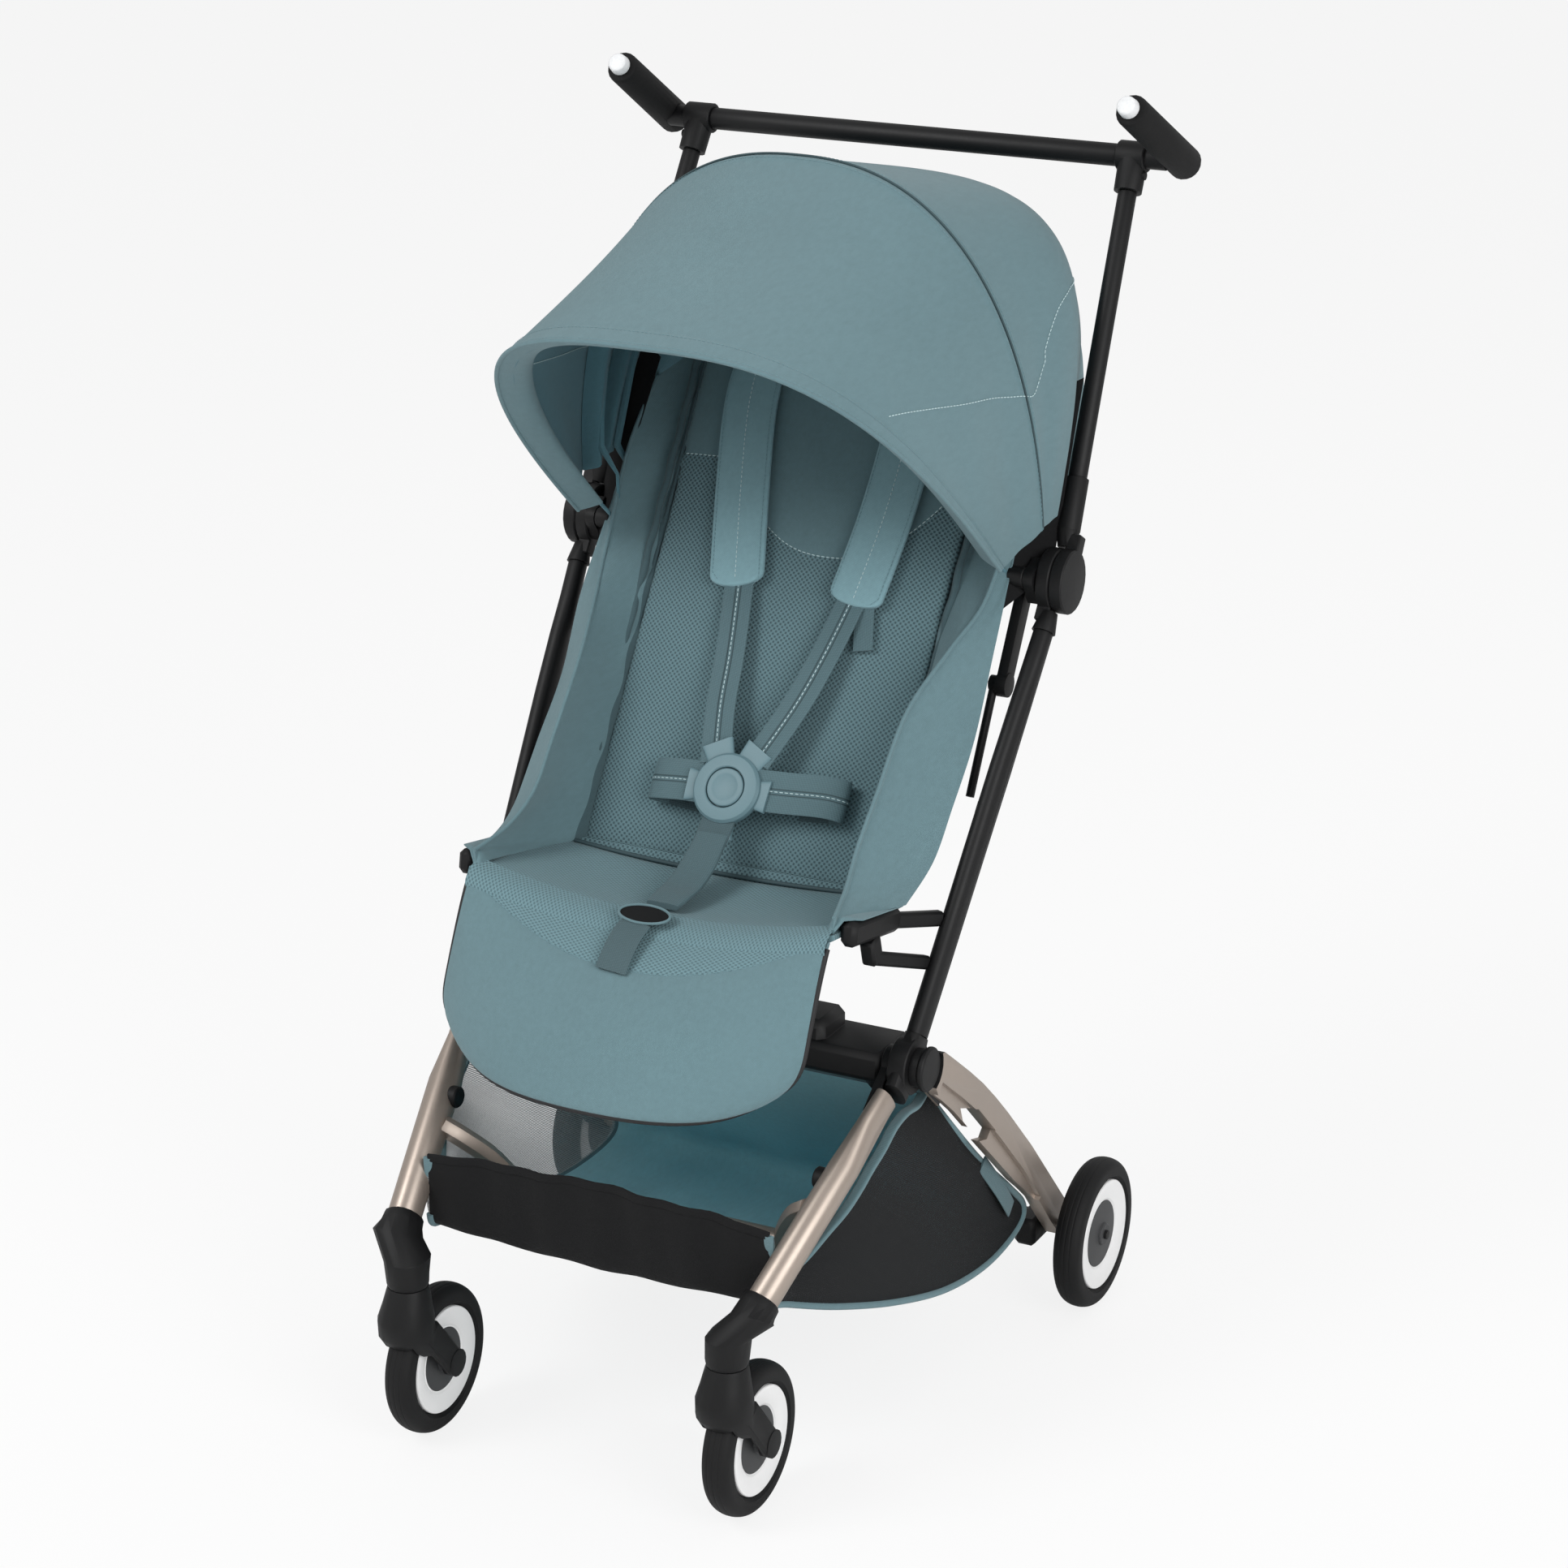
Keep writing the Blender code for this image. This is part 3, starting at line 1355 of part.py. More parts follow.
# Basket: rear wall, floor and front band in one run, with a panel at each side
def basket():
    run = [
        (-0.0780, 0.2680, 0.1900),
        (-0.0300, 0.2240, 0.1940),
        (0.0200, 0.1760, 0.1950),
        (0.0700, 0.1320, 0.1985),
        (0.1040, 0.1000, 0.1975),
        (0.0920, 0.0820, 0.1965),
        (0.0300, 0.0790, 0.1980),
        (-0.0500, 0.0920, 0.1970),
        (-0.1300, 0.1160, 0.1900),
        (-0.2000, 0.1410, 0.1740),
        (-0.2500, 0.1620, 0.1560),
        (-0.2700, 0.1720, 0.1520),
        (-0.2730, 0.1950, 0.1510),
        (-0.2730, 0.2280, 0.1510),
    ]
    rim = [
        (-0.0780, 0.2680, 0.1900),
        (-0.0960, 0.2720, 0.1895),
        (-0.1150, 0.2730, 0.1890),
        (-0.1350, 0.2690, 0.1885),
        (-0.1550, 0.2580, 0.1880),
        (-0.1720, 0.2480, 0.1860),
        (-0.1880, 0.2370, 0.1840),
        (-0.2040, 0.2250, 0.1800),
        (-0.2190, 0.2130, 0.1730),
        (-0.2350, 0.1980, 0.1640),
        (-0.2500, 0.1900, 0.1570),
        (-0.2620, 0.1930, 0.1535),
        (-0.2700, 0.2050, 0.1515),
        (-0.2730, 0.2280, 0.1510),
    ]
    bm = bmesh.new()
    lanes = 8
    count = len(run)

    def row(index):
        y, z, half = run[index]
        places = []
        for lane in range(lanes + 1):
            u = lane / lanes * 2 - 1
            sag = 0.0 if index in (0, count - 1) else 0.010 * (1 - u * u) * math.sin(math.pi * index / (count - 1))
            places.append(bm.verts.new((half * u, y, z - sag)))
        return places

    rows = [row(i) for i in range(count)]
    for low, high in zip(rows, rows[1:]):
        for i in range(lanes):
            bm.faces.new((low[i], low[i + 1], high[i + 1], high[i]))
    for side, edge in ((-1, 0), (1, lanes)):
        middle, top = [None], [None]
        for i in range(1, count - 1):
            y, z, half = rim[i]
            ry, rz, rhalf = run[i]
            bulge = 0.002 * side
            middle.append(bm.verts.new((side * (half + rhalf) / 2 + bulge, (y + ry) / 2, (z + rz) / 2)))
            top.append(bm.verts.new((side * half, y, z)))
        ends = [rows[0][edge], rows[-1][edge]]
        for i in range(count - 1):
            a, b = rows[i][edge], rows[i + 1][edge]
            c = middle[i + 1] if i + 1 < count - 1 else None
            d = middle[i] if i else None
            e = top[i + 1] if i + 1 < count - 1 else None
            f = top[i] if i else None
            first = [v for v in (a, b, c, d) if v]
            if len(first) > 2:
                bm.faces.new(first)
            if i == 0:
                bm.faces.new((ends[0], c, e))
            elif i == count - 2:
                bm.faces.new((d, ends[1], f))
            else:
                bm.faces.new((d, c, e, f))
    bmesh.ops.recalc_face_normals(bm, faces=bm.faces)
    return bm


node("basket", basket, mesh_cloth, shell=0.0015)

bpy.context.view_layer.update()
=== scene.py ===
"""Looks of the compact stroller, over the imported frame: metres, +Z up, the front at -Y, floor at z = 0."""

import json
import math

import bmesh
import bpy
import numpy as np
from mathutils import Matrix, Vector

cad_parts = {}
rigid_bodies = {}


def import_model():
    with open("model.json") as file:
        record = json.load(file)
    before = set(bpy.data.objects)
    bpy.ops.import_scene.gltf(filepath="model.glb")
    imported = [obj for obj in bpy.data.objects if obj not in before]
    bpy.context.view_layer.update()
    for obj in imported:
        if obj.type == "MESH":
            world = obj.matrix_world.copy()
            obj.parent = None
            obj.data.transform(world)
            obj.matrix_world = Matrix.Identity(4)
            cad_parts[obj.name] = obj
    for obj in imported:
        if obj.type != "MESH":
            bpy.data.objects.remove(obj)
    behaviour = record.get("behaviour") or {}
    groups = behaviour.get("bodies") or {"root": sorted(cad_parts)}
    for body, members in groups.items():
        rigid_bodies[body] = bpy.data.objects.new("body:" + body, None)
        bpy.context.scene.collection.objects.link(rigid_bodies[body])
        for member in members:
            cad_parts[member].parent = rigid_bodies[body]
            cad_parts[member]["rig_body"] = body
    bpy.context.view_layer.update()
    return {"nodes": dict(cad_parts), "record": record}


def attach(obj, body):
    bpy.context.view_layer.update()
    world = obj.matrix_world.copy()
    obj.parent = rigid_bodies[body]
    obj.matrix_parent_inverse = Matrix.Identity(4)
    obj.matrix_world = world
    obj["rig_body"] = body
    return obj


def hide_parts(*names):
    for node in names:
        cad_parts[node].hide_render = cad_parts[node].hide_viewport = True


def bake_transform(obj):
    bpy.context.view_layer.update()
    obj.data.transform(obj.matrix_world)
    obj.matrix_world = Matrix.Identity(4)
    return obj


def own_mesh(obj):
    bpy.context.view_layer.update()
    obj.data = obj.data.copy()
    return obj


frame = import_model()
nodes = frame["nodes"]
body_of = {n: o["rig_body"] for n, o in nodes.items()}
slot_of = {p["node"]: p["material_slot"] for p in frame["record"]["subparts"]}

# Main measures, the same as the CAD's
HUB = Vector((0.1944, -0.1227, 0.3181))
LEG_FOOT = Vector((0.1585, -0.2987, 0.1869))
FRONT_R, REAR_R, TYRE_DEPTH, TYRE_HALF = 0.0612, 0.0647, 0.015, 0.012
FRONT_AXLE = Vector((0.1415, -0.2882, FRONT_R))
REAR_AXLE = Vector((0.243, 0.1498, REAR_R))
BACK_ANGLE = math.radians(57)
BACK_UP = Vector((0, math.cos(BACK_ANGLE), math.sin(BACK_ANGLE)))
BACK_FRONT = Vector((0, -math.sin(BACK_ANGLE), math.cos(BACK_ANGLE)))
BACK_FOOT = Vector((0, -0.0635, 0.4225))
SEAT_HALF, REST_HALF = 0.161, 0.158
SEAT_FRONT, SEAT_DEPTH = -0.1845, 0.122
PIVOT = Vector((0, 0.088, 0.655))
AROUND_X = Vector((1, 0, 0))
SIDES = ((1, "r"), (-1, "l"))


# Materials
class Wire:
    """A shader socket that adds, multiplies and so on as numbers do, by Math nodes."""

    def __init__(self, look, socket):
        self.look, self.socket = look, socket

    def math(self, operation, *others):
        return self.look.add("ShaderNodeMath", {"operation": operation}, dict(enumerate((self, *others))))

    def __add__(self, other):
        return self.math("ADD", other)

    def __sub__(self, other):
        return self.math("SUBTRACT", other)

    def __rsub__(self, other):
        return (self * -1) + other

    def __mul__(self, other):
        return self.math("MULTIPLY", other)

    def sin(self):
        return self.math("SINE")

    def above(self, level, soft):
        """0 below the level and 1 above it, turning over a soft range."""
        settings = {"interpolation_type": "SMOOTHSTEP"}
        return self.look.add("ShaderNodeMapRange", settings, {0: self, 1: level - soft, 2: level + soft})


class Look:
    """One material: its node tree, and what feeds its Principled shader."""

    def __init__(self, name, rough, metal=0.0, specular=0.5, sheen=0.0):
        self.made = bpy.data.materials.new(name)
        self.made.use_nodes = True
        self.tree = self.made.node_tree
        self.shader = self.tree.nodes["Principled BSDF"]
        self.shader.inputs["Roughness"].default_value = rough
        self.shader.inputs["Metallic"].default_value = metal
        self.shader.inputs["Specular IOR Level"].default_value = specular
        self.shader.inputs["Sheen Weight"].default_value = sheen
        self.shader.inputs["Sheen Roughness"].default_value = 0.6
        self.bumped = None

    def add(self, kind, settings=None, inputs=None, out=0):
        """Any node: its type, then its settings, then what goes into it."""
        made = self.tree.nodes.new(kind)
        for key, value in (settings or {}).items():
            setattr(made, key, value)
        for key, value in (inputs or {}).items():
            if isinstance(value, Wire):
                self.tree.links.new(value.socket, made.inputs[key])
            else:
                made.inputs[key].default_value = value
        return Wire(self, made.outputs[out])

    def place(self):
        """Object coordinates, which are the row frame's metres at rest."""
        return self.add("ShaderNodeTexCoord", out=3)

    def cloth(self):
        """Across and along on the cloth, in metres."""
        flat = self.add("ShaderNodeUVMap", {"uv_map": "cloth"})
        return self.part(flat, 0), self.part(flat, 1)

    def part(self, vector, index):
        return self.add("ShaderNodeSeparateXYZ", inputs={0: vector}, out=index)

    def noise(self, scale, detail=2.0, stretch=None):
        place = self.place()
        if stretch:
            place = self.add("ShaderNodeMapping", inputs={0: place, "Scale": stretch})
        return self.add("ShaderNodeTexNoise", inputs={"Vector": place, "Scale": scale, "Detail": detail})

    def mix(self, amount, low, high):
        return self.add("ShaderNodeMix", {"data_type": "RGBA"}, {0: amount, 6: low, 7: high}, out=2)

    def colour(self, wire):
        self.tree.links.new(wire.socket, self.shader.inputs["Base Color"])

    def rough(self, wire):
        self.tree.links.new(wire.socket, self.shader.inputs["Roughness"])

    def bump(self, height, distance, strength=1.0):
        inputs = {"Height": height, "Distance": distance, "Strength": strength}
        if self.bumped:
            inputs["Normal"] = self.bumped
        self.bumped = self.add("ShaderNodeBump", inputs=inputs)
        self.tree.links.new(self.bumped.socket, self.shader.inputs["Normal"])


def shade(colour, factor):
    return tuple(c * factor for c in colour[:3]) + (1.0,)


WEAVE, RIB = 2 * math.pi / 0.0011, 2 * math.pi / 0.0016


def fabric(name, colour, creases=0.5, contrast=0.2, sheen=0.12):
    """Plain weave in two tones of yarn, with slubs and soft creases."""
    look = Look(name, 0.88, specular=0.25, sheen=sheen)
    across, along = look.cloth()
    threads = (across * WEAVE).sin() * (along * WEAVE).sin()
    yarn = look.noise(1500, 1.0)
    slub = look.noise(260, 3.0, (1, 0.35, 1))
    amount = threads * 0.22 + yarn * 0.5 + slub * 0.5 + look.noise(7, 2.0) * 0.3 - 0.15
    look.colour(look.mix(amount, shade(colour, 1 - contrast), shade(colour, 1 + contrast)))
    look.rough(yarn * 0.14 + 0.8)
    look.bump(look.noise(16, 3.0, (1, 1, 0.45)), 0.004, creases)
    look.bump(threads + yarn * 0.6, 0.00012, 0.6)
    return look.made


def netting(name, colour, hole, across_pitch, along_pitch, upright=None):
    """Spacer mesh with small holes in rows, along the cloth or along an upright direction."""
    look = Look(name, 0.85, specular=0.25, sheen=0.1)
    if upright:
        place = look.place()
        across = look.part(place, 0)
        along = look.add("ShaderNodeVectorMath", {"operation": "DOT_PRODUCT"}, {0: place, 1: upright}, out=1)
    else:
        across, along = look.cloth()
    dots = (across * (2 * math.pi / across_pitch)).sin() * (along * (2 * math.pi / along_pitch)).sin()
    holes = (dots * 0.5 + 0.5).above(0.62, 0.2)
    yarn = look.noise(1300, 1.0)
    body = look.mix(yarn * 0.6 + look.noise(6, 2.0) * 0.4, shade(colour, 0.88), shade(colour, 1.16))
    # Painted shade: the holes take the darker hole colour, for the shade down in them
    look.colour(look.mix(holes, body, hole))
    look.bump(look.noise(14, 2.0), 0.003, 0.4)
    look.bump(holes * -1.0 + yarn * 0.15, 0.0006, 0.8)
    return look.made


def webbing(name, colour):
    """Woven strap: ribs along it, and a fine twill across."""
    look = Look(name, 0.72, specular=0.35, sheen=0.1)
    across, along = look.cloth()
    ribs = (across * RIB).sin()
    twill = (across * 1400 + along * 2600).sin()
    amount = ribs * 0.22 + twill * 0.15 + look.noise(900, 1.0) * 0.4 + 0.3
    look.colour(look.mix(amount, shade(colour, 0.78), shade(colour, 1.2)))
    look.bump(ribs * 0.6 + twill * 0.4, 0.00018, 0.7)
    return look.made


def grained(look, colour, fine, soft, share, tones, uneven, rough, depth, strength):
    """Two tones, a roughness and a bump, out of a fine noise and a soft one."""
    look.colour(look.mix(fine * share + soft * (1 - share), shade(colour, tones[0]), shade(colour, tones[1])))
    look.rough(soft * uneven[0] + fine * uneven[1] + rough)
    look.bump(fine, depth, strength)
    return look.made


def moulded(name, colour, rough=0.5, grain=1100, depth=0.00006, wear=0.1):
    """Moulded plastic with a fine spark-eroded grain and faint handling marks."""
    look = Look(name, rough, specular=0.28)
    tones = (1 - wear * 2, 1 + wear * 3)
    fine, soft = look.noise(grain, 2.0), look.noise(30, 3.0)
    return grained(look, colour, fine, soft, 0.5, tones, (0.16, 0.06), rough - 0.11, depth, 0.7)


def powder(name, colour, rough):
    """Powder coat on tube: orange peel, and a little variation in sheen."""
    look = Look(name, rough, specular=0.3)
    fine, soft = look.noise(420, 2.0), look.noise(24, 3.0)
    return grained(look, colour, fine, soft, 0.4, (0.8, 1.35), (0.14, 0.08), rough - 0.11, 0.00005, 0.6)


def satin(name, colour):
    """Anodised satin metal with very fine drawing lines."""
    look = Look(name, 0.38, metal=0.72, specular=0.5)
    lines, soft = look.noise(300, 3.0, (1.0, 1.0, 0.05)), look.noise(18, 2.0)
    return grained(look, colour, lines, soft, 0.4, (0.9, 1.08), (0.08, 0.1), 0.3, 0.00002, 0.5)


def mesh_net(name, colour, pitch, cover):
    """Open net: threads cross with clear holes between them."""
    look = Look(name, 0.8, specular=0.3)
    across, along = look.cloth()
    wave = 2 * math.pi / pitch
    a, b = (across + along) * wave, (across - along) * wave
    open_part = a.sin() * b.sin() * 0.5 + 0.5
    hole = open_part.above(cover, 0.1)
    look.colour(look.mix(look.noise(700, 1.0), shade(colour, 0.7), shade(colour, 1.5)))
    look.tree.links.new((1.0 - hole).socket, look.shader.inputs["Alpha"])
    look.bump(open_part * -1.0, 0.0004, 0.6)
    return look.made


def plain(name, colour, rough, vary=0.1):
    """A finish of one colour with a faint grain, for thread, caps and piping."""
    look = Look(name, rough, specular=0.4)
    fine = look.noise(600, 2.0)
    look.colour(look.mix(fine, shade(colour, 1 - vary), shade(colour, 1 + vary)))
    look.rough(fine * 0.1 + (rough - 0.05))
    look.bump(fine, 0.00005, 0.4)
    return look.made


TEAL = (0.12, 0.206, 0.23, 1)
DEEP = (0.084, 0.152, 0.172, 1)
finish = {
    "black_tube": powder("powder_black", (0.0034, 0.0035, 0.004, 1), 0.52),
    "black_plastic": moulded("plastic_black", (0.0038, 0.0039, 0.0043, 1), 0.56),
    "champagne_metal": satin("satin_champagne", (0.375, 0.318, 0.275, 1)),
    "grip_foam": moulded("grip_foam", (0.0055, 0.0055, 0.0058, 1), 0.8, 700, 0.00025),
    "silver_cap": plain("cap_silver", (0.72, 0.73, 0.74, 1), 0.42),
    "tyre": moulded("tyre_rubber", (0.0045, 0.0045, 0.0049, 1), 0.66, 500, 0.0001),
    "white_rim": plain("ring_white", (0.8, 0.8, 0.8, 1), 0.38, vary=0.02),
    "teal_plastic": moulded("plastic_teal", (0.125, 0.21, 0.238, 1), 0.44, 1300, 0.00004, 0.05),
}
hub_grey = moulded("hub_grey", (0.045, 0.046, 0.048, 1), 0.52)
teal = fabric("cloth_teal", TEAL)
inner = fabric("cloth_inner", (0.07, 0.165, 0.2, 1), contrast=0.16)
# Painted light: the shoulder pads' cloth is the teal made 1.75 times lighter, a lit copy of it
pad_cloth_lit = fabric("cloth_pad_lit", shade(TEAL, 1.75), creases=0.3)
wing_cloth = fabric("cloth_wing", shade(TEAL, 0.97), creases=0.35)
# Painted shade: a darkened teal, laid along the backrest's edge and where the wings meet the backrest
shadow_teal = fabric("cloth_shadow", shade(DEEP, 0.62), contrast=0.2)
mesh_back = netting("mesh_back", shade(TEAL, 1.02), shade(DEEP, 0.66), 0.0044, 0.0044, BACK_UP)
mesh_seat = netting("mesh_seat", shade(TEAL, 1.2), shade(DEEP, 1.02), 0.0048, 0.0034)
strap_teal = webbing("webbing_teal", shade(DEEP, 0.9))
strap_dark = webbing("webbing_dark", shade(DEEP, 0.62))
strap_deep = webbing("webbing_deep", shade(DEEP, 0.74))
thread_light = plain("thread_light", (0.5, 0.64, 0.66, 1), 0.6, vary=0.15)
thread_tonal = plain("thread_tonal", shade(TEAL, 1.35), 0.7, vary=0.15)
thread_dark = plain("thread_dark", shade(DEEP, 0.45), 0.7, vary=0.15)
piping_black = plain("piping_black", (0.01, 0.01, 0.011, 1), 0.6)
piping_teal = fabric("piping_teal", shade(TEAL, 0.95), creases=0.1)
basket_net = mesh_net("basket_net", (0.0075, 0.0085, 0.0095, 1), 0.003, 0.86)
# Painted light: the left basket wall's net is a light grey copy of the near-black net on the right wall
side_net = mesh_net("side_net", (0.34, 0.34, 0.34, 1), 0.0034, 0.58)
basket_black = fabric("basket_black", (0.0042, 0.0044, 0.005, 1), creases=0.6, contrast=0.3, sheen=0.02)
basket_teal = fabric("basket_teal", shade(TEAL, 0.95), creases=0.6)
# Painted light: a teal about three times lighter than the basket's own, for a lit look of its shaded inner
# face
basket_inside = fabric("basket_inside", (0.34, 0.66, 0.74, 1), creases=0.6)
steel = satin("screw_steel", (0.25, 0.25, 0.26, 1))


# Mesh helpers
def from_bmesh(name, bm, *materials):
    mesh = bpy.data.meshes.new(name)
    bm.to_mesh(mesh)
    bm.free()
    made = bpy.data.objects.new(name, mesh)
    bpy.context.scene.collection.objects.link(made)
    for material in materials:
        mesh.materials.append(material)
    return made


def cut_size(points, rests_on, upright=False):
    """Works out the width, length and area of a sheet's grid, an upright one's by height and depth; they are
    not kept.
    """
    points = np.asarray(points, float)
    width = max(lengths(row)[-1] for row in points)
    length = max(lengths(points[:, k])[-1] for k in range(points.shape[1]))
    if upright:
        width, length = np.ptp(points[..., 2]), np.ptp(points[..., 1])
    a, b = points[1:, 1:] - points[:-1, :-1], points[1:, :-1] - points[:-1, 1:]
    area = 0.5 * np.linalg.norm(np.cross(a, b), axis=2).sum()
    area = min(max(area, 0.3 * width * length), width * length)


def smoothed(o, angle=35):
    o.data.polygons.foreach_set("use_smooth", [True] * len(o.data.polygons))
    o.data.set_sharp_from_angle(angle=math.radians(angle))
    return o


def baked(o):
    """Turns the object's modifiers into a plain mesh."""
    bpy.context.view_layer.update()
    graph = bpy.context.evaluated_depsgraph_get()
    mesh = bpy.data.meshes.new_from_object(o.evaluated_get(graph))
    o.modifiers.clear()
    o.data = mesh
    return o


def finished(o, angle=60):
    return smoothed(baked(o), angle)


def modified(o, kind, **settings):
    made = o.modifiers.new(kind, kind)
    for key, value in settings.items():
        setattr(made, key, value)
    return made


def curve_points(points, count):
    """A smooth line through the points, evenly stepped by index."""
    p = np.array([tuple(q) for q in points], float)
    t = np.linspace(0, len(p) - 1, count)
    i = np.clip(t.astype(int), 0, len(p) - 2)
    f = (t - i)[:, None]
    a, b, c, d = (p[np.clip(i + k, 0, len(p) - 1)] for k in (-1, 0, 1, 2))
    return 0.5 * (2 * b + (c - a) * f + (2 * a - 5 * b + 4 * c - d) * f**2 + (3 * b - a - 3 * c + d) * f**3)


def lengths(points):
    step = np.linalg.norm(np.diff(points, axis=0), axis=1)
    return np.concatenate([[0], np.cumsum(step)])


def sheet_of(name, points, materials, region=None, flip=False):
    """A sheet from rows of points, with its cloth coordinates in metres from the middle of each row."""
    rows, cols, _ = points.shape
    bm = bmesh.new()
    layer = bm.loops.layers.uv.new("cloth")
    verts = [[bm.verts.new(tuple(p)) for p in row] for row in points]
    along = lengths(points[:, cols // 2])
    across = [lengths(row) for row in points]
    across = [a - a[cols // 2] for a in across]
    for r in range(rows - 1):
        for c in range(cols - 1):
            corner = [(r, c), (r, c + 1), (r + 1, c + 1), (r + 1, c)]
            if flip:
                corner.reverse()
            face = bm.faces.new([verts[i][j] for i, j in corner])
            face.smooth = True
            if region:
                face.material_index = region((r + 0.5) / (rows - 1), (c + 0.5) / (cols - 1))
            for loop, (i, j) in zip(face.loops, corner):
                loop[layer].uv = (across[i][j], along[i])
    return from_bmesh(name, bm, *materials)


def thick_sheet(name, points, materials, thick, region=None, flip=False, offset=0, inside=0):
    """A sheet with its thickness, half on either side of its points unless an offset says otherwise."""
    made = sheet_of(name, np.array(points), materials, region, flip)
    modified(made, "SOLIDIFY", thickness=thick, offset=offset, material_offset=inside)
    return finished(made)


def swept(name, path, wide, thick=None, side=None, power=2.0, sides=12, material=None, closed=False):
    """A strap, pad, cord or piping: a rounded section carried along a path."""
    path = np.array([tuple(p) for p in path], float)
    count = len(path)
    thick = wide if thick is None else thick
    wide = np.broadcast_to(wide, count)
    thick = np.broadcast_to(thick, count)
    if closed:
        tangent = np.roll(path, -1, axis=0) - np.roll(path, 1, axis=0)
    else:
        tangent = np.gradient(path, axis=0)
    tangent /= np.linalg.norm(tangent, axis=1)[:, None]
    sideways = np.array(side if side is not None else (0.31, 0.27, 0.91), float)
    if side is None and abs(tangent[0] @ sideways) > 0.9 * np.linalg.norm(sideways):
        sideways = np.array((1.0, 0, 0))
    bm = bmesh.new()
    layer = bm.loops.layers.uv.new("cloth")
    rings, along = [], lengths(path)
    for i in range(count):
        s = sideways - tangent[i] * (sideways @ tangent[i])
        s /= np.linalg.norm(s)
        if side is None:
            sideways = s
        n = np.cross(tangent[i], s)
        ring = []
        for k in range(sides):
            turn = 2 * math.pi * (k + 0.5) / sides
            c, q = math.cos(turn), math.sin(turn)
            a = math.copysign(abs(c) ** (2 / power), c) * wide[i]
            b = math.copysign(abs(q) ** (2 / power), q) * thick[i]
            ring.append((bm.verts.new(tuple(path[i] + s * a + n * b)), a))
        rings.append(ring)
    last = count if closed else count - 1
    for i in range(last):
        low, high = rings[i], rings[(i + 1) % count]
        for k in range(sides):
            corner = [low[k], low[(k + 1) % sides], high[(k + 1) % sides], high[k]]
            face = bm.faces.new([v for v, _ in corner])
            face.smooth = True
            for loop, (_, a), row in zip(face.loops, corner, (i, i, i + 1, i + 1)):
                loop[layer].uv = (a, along[min(row, count - 1)])
    if not closed:
        for ring, turn in ((rings[0], 1), (rings[-1], -1)):
            bm.faces.new([v for v, _ in ring][::turn])
    bmesh.ops.recalc_face_normals(bm, faces=bm.faces)
    return smoothed(from_bmesh(name, bm, material), 50)


def turned(name, profile, centre, material, axis=AROUND_X, sides=96, region=None):
    """A lathe form: (radius, along the axis) pairs, closed by its axis or by the profile itself."""
    bm = bmesh.new()
    axis = Vector(axis).normalized()
    helper = Vector((0, 0, 1)) if abs(axis.z) < 0.9 else Vector((0, 1, 0))
    a = axis.cross(helper).normalized()
    b = axis.cross(a)
    rings = []
    for r, x in profile:
        if r < 1e-6:
            rings.append([bm.verts.new(Vector(centre) + axis * x)] * sides)
            continue
        turns = [2 * math.pi * k / sides for k in range(sides)]
        out = [(a * math.cos(t) + b * math.sin(t)) * r for t in turns]
        rings.append([bm.verts.new(Vector(centre) + axis * x + q) for q in out])
    for i, (low, high) in enumerate(zip(rings, rings[1:])):
        for k in range(sides):
            m = (k + 1) % sides
            corner = list(dict.fromkeys([low[k], low[m], high[m], high[k]]))
            if len(corner) > 2:
                face = bm.faces.new(corner)
                face.material_index = region[i] if region else 0
    bmesh.ops.recalc_face_normals(bm, faces=bm.faces)
    materials = material if isinstance(material, (list, tuple)) else [material]
    return smoothed(from_bmesh(name, bm, *materials), 32)


def joined(name, pieces):
    """One object out of several, each keeping its own material."""
    first = pieces[0]
    with bpy.context.temp_override(active_object=first, selected_editable_objects=pieces, object=first):
        bpy.ops.object.join()
    first.name = name
    return first


def put(o, body, *replaced, slot="teal_fabric"):
    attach(o, body)
    if replaced:
        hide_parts(*replaced)
    return o


